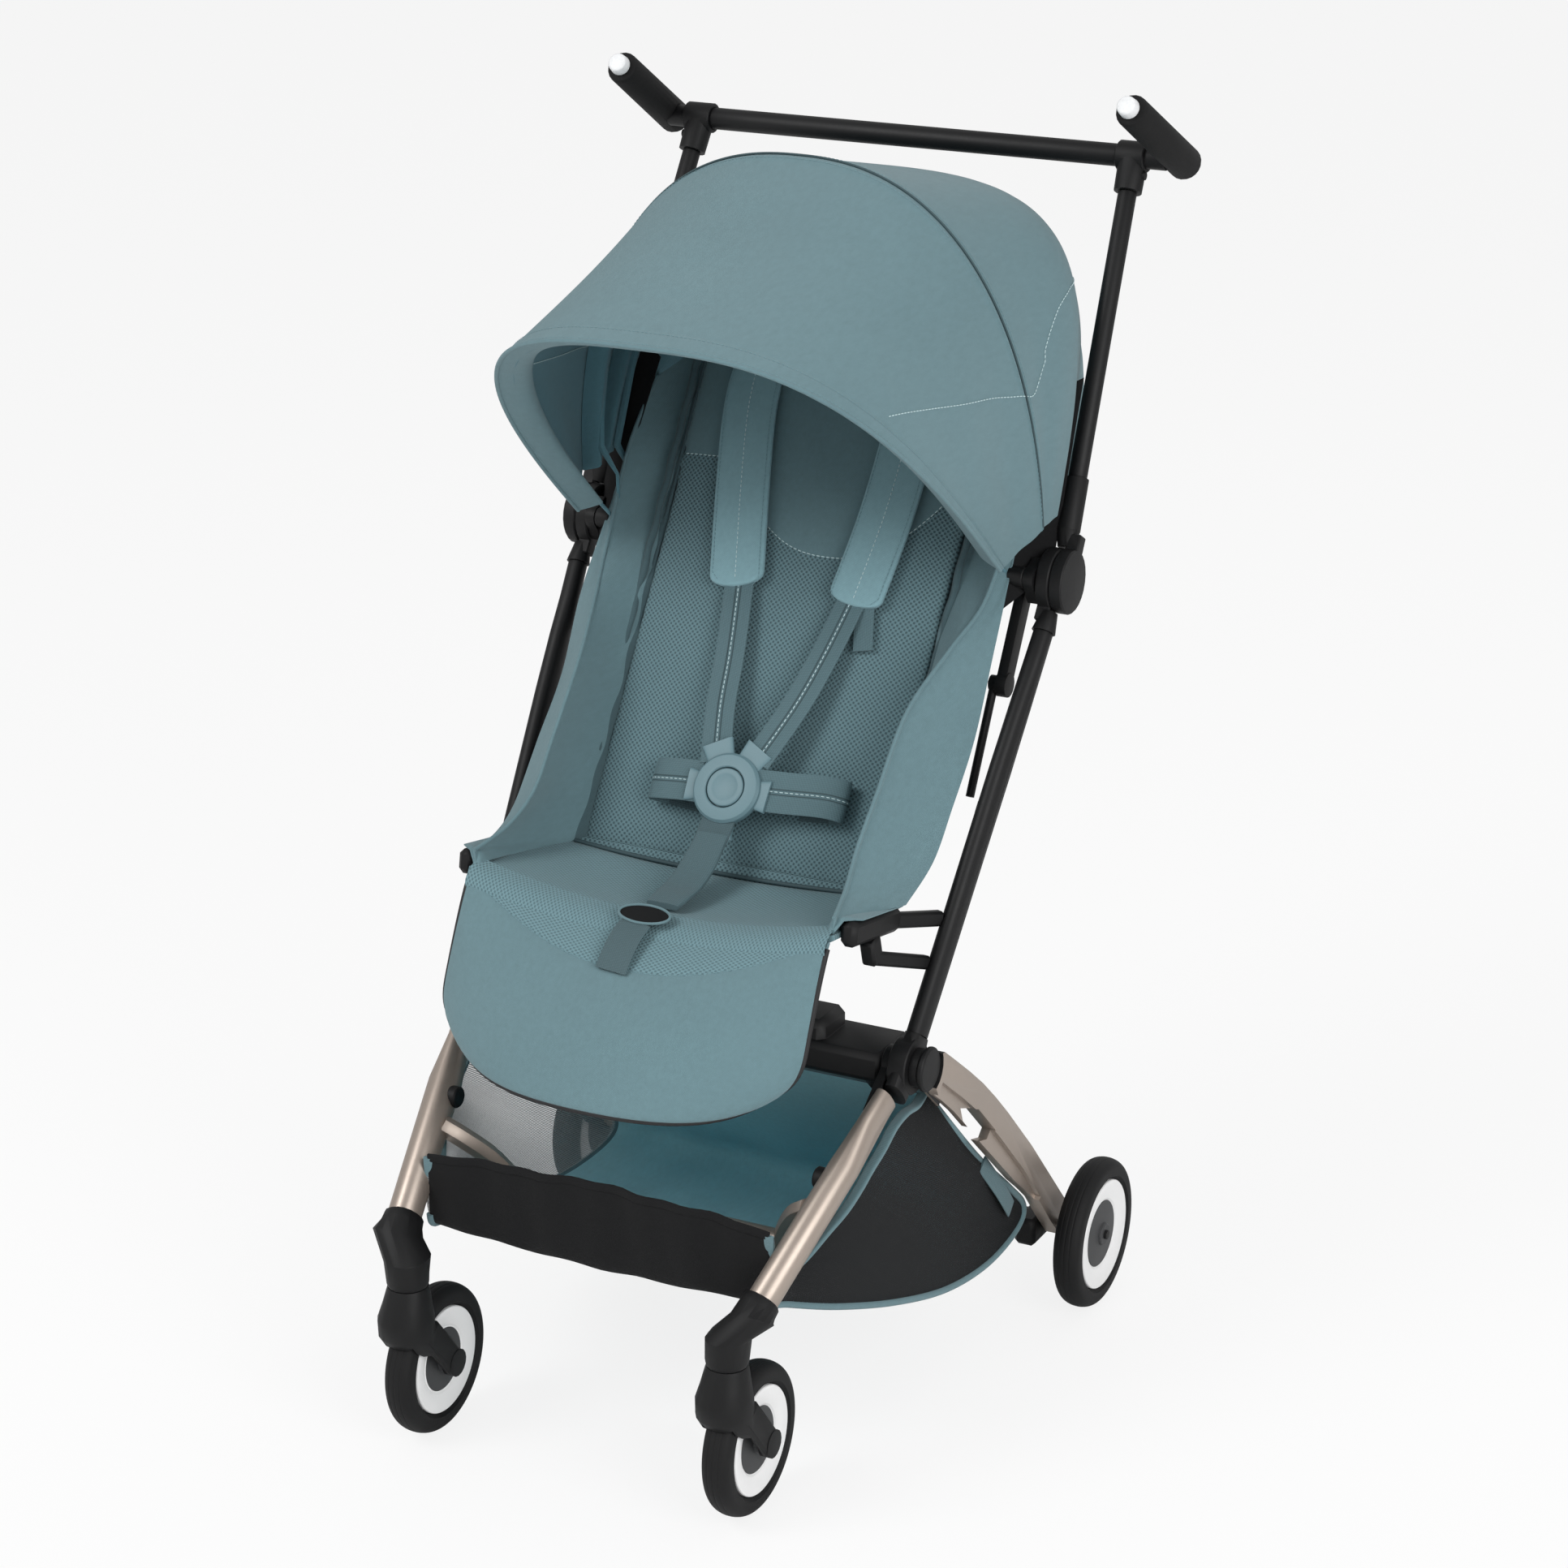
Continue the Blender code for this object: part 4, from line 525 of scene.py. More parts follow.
# Repeats by Geometry Nodes: stitches along lines, and screws on points
def repeat_tree(name, lined):
    """Sets a form at even steps of a line and along it, or on points and along their attribute "way"."""
    tree = bpy.data.node_groups.new(name, "GeometryNodeTree")
    names = {}
    for key in ("Geometry", "Pitch", "Length", "Radius", "Material"):
        kind = "NodeSocket" + (key if key in ("Geometry", "Material") else "Float")
        names[key] = tree.interface.new_socket(key, in_out="INPUT", socket_type=kind).identifier
    tree.interface.new_socket("Geometry", in_out="OUTPUT", socket_type="NodeSocketGeometry")

    def add(kind, settings=None, inputs=None):
        made = tree.nodes.new(kind)
        for key, value in (settings or {}).items():
            setattr(made, key, value)
        for key, value in (inputs or {}).items():
            if isinstance(value, bpy.types.NodeSocket):
                tree.links.new(value, made.inputs[key])
            else:
                made.inputs[key].default_value = value
        return made.outputs[0] if made.outputs else made

    entry = tree.nodes.new("NodeGroupInput").outputs
    if lined:
        curve = add("GeometryNodeMeshToCurve", None, {0: entry["Geometry"]})
        inputs = {"Curve": curve, "Length": entry["Pitch"]}
        points = add("GeometryNodeResampleCurve", {"mode": "LENGTH"}, inputs)
        way = add("GeometryNodeInputTangent")
        form = add("GeometryNodeMeshIcoSphere", None, {"Radius": 1.0, "Subdivisions": 2})
    else:
        points = entry["Geometry"]
        way = add("GeometryNodeInputNamedAttribute", {"data_type": "FLOAT_VECTOR"}, {"Name": "way"})
        form = add("GeometryNodeMeshCylinder", None, {"Vertices": 20, "Radius": 1.0, "Depth": 2.0})
    turn = add("FunctionNodeAlignRotationToVector", {"axis": "Z"}, {"Vector": way})
    half = add("ShaderNodeMath", {"operation": "MULTIPLY"}, {0: entry["Length"], 1: 0.5})
    scale = add("ShaderNodeCombineXYZ", None, {"X": entry["Radius"], "Y": entry["Radius"], "Z": half})
    inputs = {"Points": points, "Instance": form, "Rotation": turn, "Scale": scale}
    real = add("GeometryNodeRealizeInstances", None, {0: add("GeometryNodeInstanceOnPoints", None, inputs)})
    painted = add("GeometryNodeSetMaterial", None, {"Geometry": real, "Material": entry["Material"]})
    add("NodeGroupOutput", None, {0: painted})
    return tree, names


stitch_tree = repeat_tree("stitches", True)
screw_tree = repeat_tree("screws", False)


def repeated(name, verts, edges, tree_and_names, material, ways=None, **sizes):
    mesh = bpy.data.meshes.new(name)
    mesh.from_pydata([tuple(v) for v in verts], edges, [])
    if ways is not None:
        attribute = mesh.attributes.new("way", "FLOAT_VECTOR", "POINT")
        attribute.data.foreach_set("vector", np.array(ways, np.float32).ravel())
    made = bpy.data.objects.new(name, mesh)
    bpy.context.scene.collection.objects.link(made)
    tree, names = tree_and_names
    modifier = modified(made, "NODES", node_group=tree)
    for key, value in {**sizes, "Material": material}.items():
        modifier[names[key]] = value
    return finished(made)


def stitches(name, paths, material, pitch=0.0042, length=0.0031, radius=0.00036):
    verts, edges = [], []
    for path in paths:
        start = len(verts)
        verts += [tuple(p) for p in path]
        edges += [(start + i, start + i + 1) for i in range(len(path) - 1)]
    return repeated(name, verts, edges, stitch_tree, material, Pitch=pitch, Length=length, Radius=radius)


def screws(name, spots, material, radius, height):
    """Screw heads at (place, way) pairs."""
    places, ways = zip(*spots)
    return repeated(name, places, [], screw_tree, material, ways, Length=height, Radius=radius)


CLOTH_STEPS = 20


def puffed(o, voxel, pressure, cap, held):
    """Cloth under pressure, so that a pad swells between its seams; held() names the fixed vertices."""
    modified(o, "REMESH", mode="VOXEL", voxel_size=voxel, use_smooth_shade=True, adaptivity=0)
    baked(o)
    count = len(o.data.vertices)
    start = np.empty(count * 3, np.float32)
    o.data.vertices.foreach_get("co", start)
    start = start.reshape(-1, 3)
    group = o.vertex_groups.new(name="held")
    group.add([i for i in range(count) if held(start[i])], 1.0, "REPLACE")
    cloth = modified(o, "CLOTH").settings
    cloth.quality = 4
    cloth.mass = 0.3
    cloth.use_pressure = True
    cloth.uniform_pressure_force = pressure
    cloth.effector_weights.gravity = 0
    cloth.vertex_group_mass = "held"
    cloth.tension_stiffness = cloth.compression_stiffness = 12
    for step in range(1, CLOTH_STEPS + 1):
        bpy.context.scene.frame_set(step)
    graph = bpy.context.evaluated_depsgraph_get()
    result = bpy.data.meshes.new_from_object(o.evaluated_get(graph))
    moved = np.empty(count * 3, np.float32)
    result.vertices.foreach_get("co", moved)
    shift = moved.reshape(-1, 3) - start
    far = np.linalg.norm(shift, axis=1, keepdims=True)
    shift *= np.minimum(1, cap / np.maximum(far, 1e-9))
    o.modifiers.clear()
    o.vertex_groups.clear()
    o.data.vertices.foreach_set("co", (start + shift).ravel())
    bpy.context.scene.frame_set(1)
    modified(o, "SMOOTH", factor=0.5, iterations=2)
    modified(o, "SUBSURF", levels=1, render_levels=1)
    return finished(o)


# Camera at the photograph's angle, light and floor
camera_data = bpy.data.cameras.new("camera")
camera_data.lens = 87.6
camera_data.sensor_width = 36
camera_data.clip_end = 100
camera = bpy.data.objects.new("camera", camera_data)
forward = Vector((-0.428, 0.8375, -0.34)).normalized()
right = forward.cross(Vector((0, 0, 1))).normalized()
above = right.cross(forward)
camera.matrix_world = Matrix((right, above, -forward)).transposed().to_4x4()
camera.matrix_world.translation = (1.3403, -2.575, 1.5275)
bpy.context.scene.collection.objects.link(camera)
bpy.context.scene.camera = camera
bpy.context.scene.view_settings.view_transform = "Standard"
bpy.context.scene.view_settings.look = "None"


def area(name, place, target, size, power):
    data = bpy.data.lights.new(name, "AREA")
    data.shape = "DISK"
    data.size = size
    data.energy = power
    made = bpy.data.objects.new(name, data)
    made.location = place
    made.rotation_euler = (Vector(target) - Vector(place)).to_track_quat("-Z", "Y").to_euler()
    bpy.context.scene.collection.objects.link(made)


area("key", (-1.6, -2.4, 3.0), (0, 0, 0.5), 1.8, 64)
area("fill", (2.8, -1.6, 1.8), (0, 0, 0.5), 2.2, 62)
area("back", (0.6, 2.6, 2.6), (0, 0, 0.6), 2.0, 8)

# The world lights with one strength, and shows paler behind the floor's edge
WORLD_LIGHT, WORLD_EXTRA_SEEN = 0.6, 0.35
world = bpy.data.worlds.new("studio")
bpy.context.scene.world = world
world.use_nodes = True
background = world.node_tree.nodes["Background"]
background.inputs[0].default_value = (1, 1, 1, 1)
seen_by = world.node_tree.nodes.new("ShaderNodeLightPath")
strength = world.node_tree.nodes.new("ShaderNodeMath")
strength.operation = "MULTIPLY_ADD"
strength.inputs[1].default_value = WORLD_EXTRA_SEEN
strength.inputs[2].default_value = WORLD_LIGHT
world.node_tree.links.new(seen_by.outputs["Is Camera Ray"], strength.inputs[0])
world.node_tree.links.new(strength.outputs[0], background.inputs[1])

# The floor is seen mostly by its own glow, so that it stays near white with a soft shadow
FLOOR_GLOW, GLOW_SHARE = 0.985, 0.84
floor_look = Look("floor", 0.9, specular=0.1)
floor_look.shader.inputs["Base Color"].default_value = (0.86, 0.86, 0.86, 1)
glow = floor_look.add("ShaderNodeEmission", inputs={0: (1, 1, 1, 1), 1: FLOOR_GLOW})
lit = Wire(floor_look, floor_look.shader.outputs[0])
share = floor_look.add("ShaderNodeLightPath") * GLOW_SHARE
shown = floor_look.add("ShaderNodeMixShader", inputs={0: share, 1: lit, 2: glow})
floor_look.tree.links.new(shown.socket, floor_look.tree.nodes["Material Output"].inputs[0])
bm = bmesh.new()
bmesh.ops.create_grid(bm, x_segments=1, y_segments=1, size=14)
from_bmesh("floor", bm, floor_look.made)


# Rigid pieces: the CAD's own forms, with their edges eased and a finish
SOFT = {"backrest_pad", "seat_pad", "leg_rest", "side_wing_r", "side_wing_l", "basket", "buckle"}
SOFT |= {"harness_r", "harness_l", "buckle_button", "canopy_front_panel", "canopy_rear_panel"}
WHEELS = {f"{a}_{b}_{c}" for a in ("front", "rear") for b in ("tyre", "rim") for c in "rl"}
EASE = {"upright": 0.0004, "front_leg": 0.0012, "rear_leg": 0.0022, "caster_fork": 0.0012}
EASE |= {"caster_socket": 0.0015, "post_drum": 0.0009, "knuckle": 0.0009}
EASE |= {"hub_housing": 0.0009, "seat_rail": 0.0009}


def dressed(node):
    bm = bmesh.new()
    bm.from_mesh(nodes[node].data)
    bmesh.ops.remove_doubles(bm, verts=bm.verts, dist=0.00001)
    bmesh.ops.dissolve_limit(bm, angle_limit=0.03, verts=bm.verts, edges=bm.edges)
    made = from_bmesh(node + "_dressed", bm, finish[slot_of[node]])
    eased = modified(made, "BEVEL", width=EASE.get(node[:-2], 0.0006), segments=3, harden_normals=False)
    eased.limit_method, eased.angle_limit = "ANGLE", math.radians(38)
    return put(finished(made, 38), body_of[node], node, slot=slot_of[node])


def leg_frame(side):
    """The front leg's line, and the direction across its face, which is turned outwards."""
    start, end = Vector((HUB.x * side, HUB.y, HUB.z)), Vector((LEG_FOOT.x * side, LEG_FOOT.y, LEG_FOOT.z))
    way = (end - start).normalized()
    flat = (Vector((1, 0, 0)) - way * way.x).normalized()
    return start, way, Matrix.Rotation(math.radians(-22 * side), 3, way) @ flat, (end - start).length


def widened(o, side):
    """Broadens the leg, and the top of the socket under it, to the photograph's width."""
    start, way, flat, reach = leg_frame(side)
    for v in o.data.vertices:
        t = (v.co - start).dot(way)
        rise = min(1.0, max(0.0, (t - 0.055) / 0.045))
        fall = min(1.0, max(0.0, (reach + 0.036 - t) / 0.034))
        off = (v.co - start - way * t).dot(flat)
        v.co += flat * off * 0.55 * rise * rise * (3 - 2 * rise) * fall


def black_eye(o, reach):
    """The hub end of a leg sits in the black casting, so it takes that finish."""
    o.data.materials.append(finish["black_plastic"])
    for face in o.data.polygons:
        at = face.center
        if math.hypot(at.y - HUB.y, at.z - HUB.z) < reach:
            face.material_index = 1


for name in sorted(set(nodes) - SOFT - WHEELS):
    piece, kind = dressed(name), name[:-2]
    if kind in ("front_leg", "caster_socket"):
        widened(piece, 1 if name.endswith("_r") else -1)
    if kind == "front_leg":
        black_eye(piece, 0.036)
    if kind == "rear_leg":
        black_eye(piece, 0.0225)
    if name.endswith("_bow"):
        piece.data.materials[0] = inner
    if name == "canopy_mid_bow":
        for v in piece.data.vertices:
            v.co.x *= 1 - 0.017 * min(1.0, max(0.0, (v.co.z - 0.7) / 0.06))


# Wheels: rounded tyre with fine rings, white dished ring, grey hub
def wheel(kind, side, axle, radius):
    ring = radius - TYRE_DEPTH
    at = Vector((axle.x * side, axle.y, axle.z))
    label = "r" if side > 0 else "l"
    tyre = []
    for k in range(49):
        turn = math.pi * k / 48
        c, s = math.cos(turn), math.sin(turn)
        r = radius - TYRE_HALF * 0.92 * (1 - s**0.62)
        groove = 0.00035 if k in (18, 24, 30) else 0.0
        tyre.append((r - groove, -TYRE_HALF * c))
    bead = [(ring - 0.002, 0.0086), (ring + 0.0006, TYRE_HALF - 0.0012), (ring + 0.0012, TYRE_HALF)]
    profile = [(r, -x) for r, x in bead] + tyre + bead[::-1]
    profile.append(profile[0])
    rubber = turned(f"{kind}_tyre_{label}_round", profile, at, finish["tyre"], sides=112)
    put(rubber, body_of[f"{kind}_tyre_{label}"], f"{kind}_tyre_{label}", slot="tyre")
    core, edge = ring * 0.6, ring - 0.0024
    half = [
        (0.0043, 0.0117),
        (0.0085, 0.0117),
        (0.0096, 0.0108),
        (0.01, 0.0092),
        (0.017, 0.0086),
        (core - 0.0015, 0.0078),
        (core - 0.0008, 0.0071),
        (core, 0.0074),
        (core + 0.0008, 0.0082),
        (ring * 0.92, 0.0113),
        (edge - 0.0006, 0.0111),
        (edge, 0.0103),
    ]
    disc = [(0.0, 0.0112 * side)] + [(r, x * side) for r, x in half[1:]]
    disc += [(r, -x * side) for r, x in reversed(half)] + [(0.0043, 0.0085 * side), (0.0, 0.0085 * side)]
    region = [1] * 6 + [0] * 12 + [1] * (len(disc) - 19)
    rim = turned(f"{kind}_rim_{label}_dished", disc, at, [finish["white_rim"], hub_grey], region=region)
    put(rim, body_of[f"{kind}_rim_{label}"], f"{kind}_rim_{label}", slot="white_rim")


for side in (1, -1):
    wheel("front", side, FRONT_AXLE, FRONT_R)
    wheel("rear", side, REAR_AXLE, REAR_R)

for side, label in SIDES:
    spots = [(Vector((0.223 * side, 0.121, 0.67)), Vector((side, 0, 0)))]
    put(screws(f"frame_screws_{label}", spots, steel, 0.0026, 0.0008), "main_frame", slot="black_plastic")


# Soft forms, on surfaces close to the CAD's
def back_at(x, up, front):
    return BACK_FOOT + BACK_UP * up + BACK_FRONT * front + Vector((x, 0, 0))


def fade(value, reach):
    near = min(value, 1 - value) / reach
    return math.sqrt(max(0.0, 1 - (1 - min(near, 1)) ** 2))


def bell(value, centre, width):
    return math.exp(-(((value - centre) / width) ** 2))


def pad_of(name, surface, front, back, across, along, material, region=None, facing=None):
    """A crowned closed form: a front face and a back face that meet on the rim."""

    def sampled(of):
        rows = [[of(u / across, v / along) for u in range(across + 1)] for v in range(along + 1)]
        return np.array(rows, float)

    mid = sampled(surface)
    normal = np.cross(np.gradient(mid, axis=1), np.gradient(mid, axis=0))
    normal /= np.maximum(np.linalg.norm(normal, axis=2, keepdims=True), 1e-12)
    if facing and (normal @ np.array(facing)).mean() < 0:
        normal = -normal
    top, low = sampled(front)[..., None], sampled(back)[..., None]
    bm = bmesh.new()
    layer = bm.loops.layers.uv.new("cloth")
    wide = [lengths(r) - lengths(r)[across // 2] for r in mid]
    tall = lengths(mid[:, across // 2])
    upper = [[bm.verts.new(tuple(p)) for p in r] for r in mid + normal * top]
    lower = [[bm.verts.new(tuple(p)) for p in r] for r in mid - normal * low]

    def quad(corners, index=0):
        face = bm.faces.new([v for v, _, _ in corners])
        face.smooth = True
        face.material_index = index
        for loop, (_, i, j) in zip(face.loops, corners):
            loop[layer].uv = (wide[i][j], tall[i])

    for i in range(along):
        for j in range(across):
            places = [(i, j), (i, j + 1), (i + 1, j + 1), (i + 1, j)]
            index = region((j + 0.5) / across, (i + 0.5) / along) if region else 0
            quad([(upper[a][b], a, b) for a, b in places], index)
            quad([(lower[a][b], a, b) for a, b in reversed(places)])
    rim = [(0, j) for j in range(across)] + [(i, across) for i in range(along)]
    rim += [(along, j) for j in range(across, 0, -1)] + [(i, 0) for i in range(along, 0, -1)]
    for a, b in zip(rim, rim[1:] + rim[:1]):
        (i, j), (m, n) = a, b
        quad([(lower[i][j], *a), (lower[m][n], *b), (upper[m][n], *b), (upper[i][j], *a)])
    materials = material if isinstance(material, (list, tuple)) else [material]
    bmesh.ops.recalc_face_normals(bm, faces=bm.faces)
    return from_bmesh(name, bm, *materials)


# Backrest: mesh field, smooth head part, bound edges whose binding is darkened with painted shade
BACK_HALF, BACK_FLARE, BACK_LOW, BACK_LONG = 0.131, 0.006, 0.003, 0.478


def back_surface(u, v):
    x = (u * 2 - 1) * (BACK_HALF + BACK_FLARE * v)
    return tuple(back_at(x, BACK_LOW + v * BACK_LONG, -0.009 + 0.008 * (1 - math.cos(x * 9))))


def back_front_thick(u, v):
    body = 0.0022 + 0.005 * fade(u, 0.22) * fade(v, 0.08)
    return body - 0.0022 * math.exp(-(((abs(u - 0.5) - 0.34) / 0.028) ** 2))


def arc_up(x):
    """Height on the backrest of the light seam that curves under the head part."""
    return 0.27 + 0.072 * min(1.0, abs(x - 0.02) / 0.1) ** 2.4


def back_thick(u, v):
    return 0.0055 * fade(u, 0.2) + 0.0015


backrest = pad_of("backrest_cushion", back_surface, back_front_thick, back_thick, 40, 72, mesh_back)
backrest = puffed(backrest, 0.005, 3.0, 0.005, lambda p: abs(p[0]) > 0.124)
backrest.data.materials.clear()
for material in (mesh_back, teal):
    backrest.data.materials.append(material)
if "cloth" not in backrest.data.uv_layers:
    backrest.data.uv_layers.new(name="cloth")
uv = backrest.data.uv_layers["cloth"].data
places = np.array([v.co for v in backrest.data.vertices], float) - np.array(BACK_FOOT)
heights = places @ np.array(BACK_UP)
for poly in backrest.data.polygons:
    x = sum(places[i][0] for i in poly.vertices) / len(poly.vertices)
    h = sum(heights[i] for i in poly.vertices) / len(poly.vertices)
    poly.material_index = 1 if h > arc_up(x) and poly.normal.dot(BACK_FRONT) > 0.3 else 0
    for loop in poly.loop_indices:
        i = backrest.data.loops[loop].vertex_index
        uv[loop].uv = (places[i][0], heights[i])
put(backrest, "backrest", "backrest_pad")


def on_back(x, up, lift=0.0004):
    """A point on the front face of the backrest cushion."""
    v = (up - BACK_LOW) / BACK_LONG
    u = (x / (BACK_HALF + BACK_FLARE * v) + 1) / 2
    return Vector(back_surface(u, v)) + BACK_FRONT * (back_front_thick(u, v) + lift)


def drape(target, points, direction, lift):
    """Lays points on the target's surface, looking along the direction."""
    graph = bpy.context.evaluated_depsgraph_get()
    shape = target.evaluated_get(graph)
    out = []
    direction = Vector(direction).normalized()
    for p in points:
        hit, place, _, _ = shape.ray_cast(Vector(p) - direction * 0.08, direction, distance=0.16)
        out.append((place if hit else Vector(p)) - direction * lift)
    return out


bpy.context.view_layer.update()
arc = [on_back(x, arc_up(x)) for x in np.linspace(-0.128, 0.13, 60)]
arc = drape(backrest, arc, -BACK_FRONT, 0.0001)
put(stitches("backrest_stitches", [arc], thread_light, 0.0044, 0.0034, 0.00045), "backrest")


def back_side(side):
    steps = [k / 40 for k in range(41)]
    return [on_back(side * (BACK_HALF + BACK_FLARE * v), BACK_LOW + BACK_LONG * v, 0.0) for v in steps]


# The binding round the backrest's edge is real, and its dark shadow cloth is painted shade along the edge
across_top = [on_back((-1 + 2 * k / 24) * 0.137, 0.481, 0.0) for k in range(1, 24)]
edge_path = [p - BACK_FRONT * 0.003 for p in back_side(-1) + across_top + back_side(1)[::-1]]
put(swept("backrest_binding_shaded", edge_path, 0.0021, material=shadow_teal), "backrest")


# Seat cushion, and the leg rest with its seam and black piping
def seat_surface(u, v):
    x = (u * 2 - 1) * SEAT_HALF
    y = SEAT_FRONT + v * SEAT_DEPTH
    rise = (abs(x) / SEAT_HALF) ** 2.2
    z = (0.4215 + 0.019 * rise) * (1 - v) + (0.417 + 0.008 * rise) * v
    return (x, y, z - 0.006 * math.sin(math.pi * v) * (1 - rise))


def seat_top(u, v):
    return 0.0018 + 0.006 * fade(u, 0.15) * fade(v, 0.16)


def seat_under(u, v):
    return 0.002 + 0.0045 * fade(u, 0.15)


seat = pad_of("seat_cushion", seat_surface, seat_top, seat_under, 44, 20, mesh_seat)
put(smoothed(seat, 60), "main_frame", "seat_pad")


def rest_surface(u, v):
    lane = u * 2 - 1
    half = REST_HALF * (1 - 0.1 * max(0.0, (v - 0.62) / 0.38) ** 3)
    bow = 1 - abs(lane) ** 2.2
    t = v * (1 - 0.17 * abs(lane) ** 5 * v)
    y = -0.1867 - 0.062 * t**0.85 - 0.046 * bow * math.sin(math.pi * 0.5 * min(1.0, t * 1.35))
    return (lane * half, y, 0.437 - 0.017 * bow * (1 - t) - 0.128 * t)


def rest_front(u, v):
    groove = 0.0008 * bell(v, seam_v(u), 0.012)
    return 0.0018 + 0.0024 * fade(u, 0.08) * fade(v, 0.1) - groove


def seam_v(u):
    return 0.215 * (1 - abs(u * 2 - 1) ** 2.0)


def rest_back(u, v):
    return 0.0018


def rest_cloth(u, v):
    return 1 if v < seam_v(u) else 0


cloths, facing = [teal, mesh_seat], (0, -1, 0)
rest = pad_of("leg_rest_pad", rest_surface, rest_front, rest_back, 64, 72, cloths, rest_cloth, facing)
put(smoothed(rest, 60), "leg_rest", "leg_rest")


def rest_at(u, v, lift):
    e = 0.004
    a, b = Vector(rest_surface(min(u + e, 1), v)), Vector(rest_surface(max(u - e, 0), v))
    c, d = Vector(rest_surface(u, min(v + e, 1))), Vector(rest_surface(u, max(v - e, 0)))
    normal = (a - b).cross(c - d).normalized()
    return Vector(rest_surface(u, v)) + normal * lift


outward = -1 if rest_at(0.5, 0.5, 0.01).y > rest_surface(0.5, 0.5)[1] else 1
border = [rest_at(1, v / 30, 0) for v in range(1, 31)] + [rest_at(1 - u / 40, 1, 0) for u in range(1, 40)]
border += [rest_at(0, 1 - v / 30, 0) for v in range(30)]
put(swept("leg_rest_piping", border, 0.0023, material=piping_black), "leg_rest")
seam = []
for u in np.linspace(0.02, 0.98, 90):
    seam.append(rest_at(u, seam_v(u), outward * (rest_front(u, seam_v(u)) + 0.0004)))
put(stitches("leg_rest_stitches", [seam], thread_tonal, 0.004, 0.003, 0.0003), "leg_rest")


# Side wings: cloth from the frame forward to a ridge, and from there back to the side of the backrest. The
# ridge was placed by back-projecting both wings' front edges in the photograph
RIDGE = [(0.1585, -0.1795, 0.4545), (0.15, -0.142, 0.464), (0.144, -0.11, 0.485)]
RIDGE += [(0.1448, -0.0784, 0.5186), (0.1471, -0.0299, 0.5714), (0.16, 0.021, 0.61)]
RIDGE += [(0.172, 0.0628, 0.6434), (0.176, 0.11, 0.714), (0.172, 0.152, 0.764)]
WING_OUT = [(0.18, -0.098, 0.44), (0.186, -0.062, 0.464), (0.187, -0.03, 0.498)]
WING_OUT += [(0.187, 0.01, 0.542), (0.187, 0.042, 0.6), (0.184, 0.076, 0.65)]
WING_OUT += [(0.178, 0.118, 0.714), (0.173, 0.157, 0.766)]
WING_ROWS, WING_THICK = 73, 0.0016


def wing_side(p, q, bow, v, side, fold):
    """One row of cloth between two lines, hanging in a little, with soft creases that start at the fold."""
    row = []
    for j in range(17):
        u = j / 16
        hollow = -bow * math.sin(math.pi * u)
        crease = fold * math.sin(30 * v + 4 * u) * math.sin(math.pi * u)
        row.append(tuple(p * (1 - u) + q * u + Vector((-side * 0.6, -0.6, 0.4)) * (hollow + crease)))
    return row


# Painted shade: the strip of the inner face next to the backrest takes the shadow cloth
def near_back(row, column):
    return 1 if column > 0.86 else 0


def wing(side, label):
    """The outer face rides on the frame, and the inner face stretches from the frame to the backrest."""
    lines = [[(x * side, y, z) for x, y, z in line] for line in (RIDGE, WING_OUT)]
    ridge, outer = (curve_points(line, WING_ROWS) for line in lines)
    v = np.linspace(0, 1, WING_ROWS)
    root = [back_at((0.1265 + 0.006 * t) * side, 0.004 + 0.446 * t, -0.0055) for t in v]
    root[0] = Vector((0.133 * side, -0.066, 0.422))
    outside, inside = [], []
    for i in range(WING_ROWS):
        outside.append(wing_side(Vector(outer[i]), Vector(ridge[i]), 0.003, v[i], side, 0.0009))
        lift = 0.003 * math.sin(52 * v[i]) * bell(v[i], 0.5, 0.6)
        row = [Vector(p) for p in wing_side(Vector(ridge[i]), root[i], 0.007, v[i], side, 0.0016)]
        inside.append([tuple(p + BACK_FRONT * lift * bell(k / 16, 0.86, 0.1)) for k, p in enumerate(row)])
    skirt = [(p[0] - 0.003 * side, p[1], p[2] - 0.015 + 0.009 * k / 16) for k, p in enumerate(inside[0])]
    inside.insert(0, skirt)
    rests_on = ["seat_rail_" + label, "backrest_pad"]
    cloths = [wing_cloth, inner]
    panel = thick_sheet(f"side_wing_panel_{label}", outside, cloths, WING_THICK, None, side > 0, -1, 1)
    put(panel, "main_frame", "side_wing_" + label)
    cut_size(outside, rests_on)
    cloths = [wing_cloth, shadow_teal]
    face = thick_sheet(f"side_wing_inner_{label}", inside, cloths, WING_THICK, near_back, side > 0, -1)
    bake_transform(face)
    cut_size(inside, rests_on)
    put(swept(f"wing_hem_{label}", ridge, 0.0017, material=piping_teal), "main_frame")
    # Painted shade: a dark cord in the shadow cloth along the line where the wing meets the backrest
    line = []
    for t in np.linspace(0, 1, 170):
        x = 0.1355 + 0.005 * t + 0.0006 * math.sin(70 * t)
        line.append(back_at(x * side, 0.012 + 0.438 * t, 0.003))
    girth = 0.003 * (1 + 0.1 * np.sin(np.linspace(0, 88, 170)) + 0.06 * np.sin(np.linspace(0, 37, 170)))
    put(swept(f"wing_seam_shade_{label}", line, girth, material=shadow_teal, sides=14), "backrest")


for side, label in SIDES:
    wing(side, label)


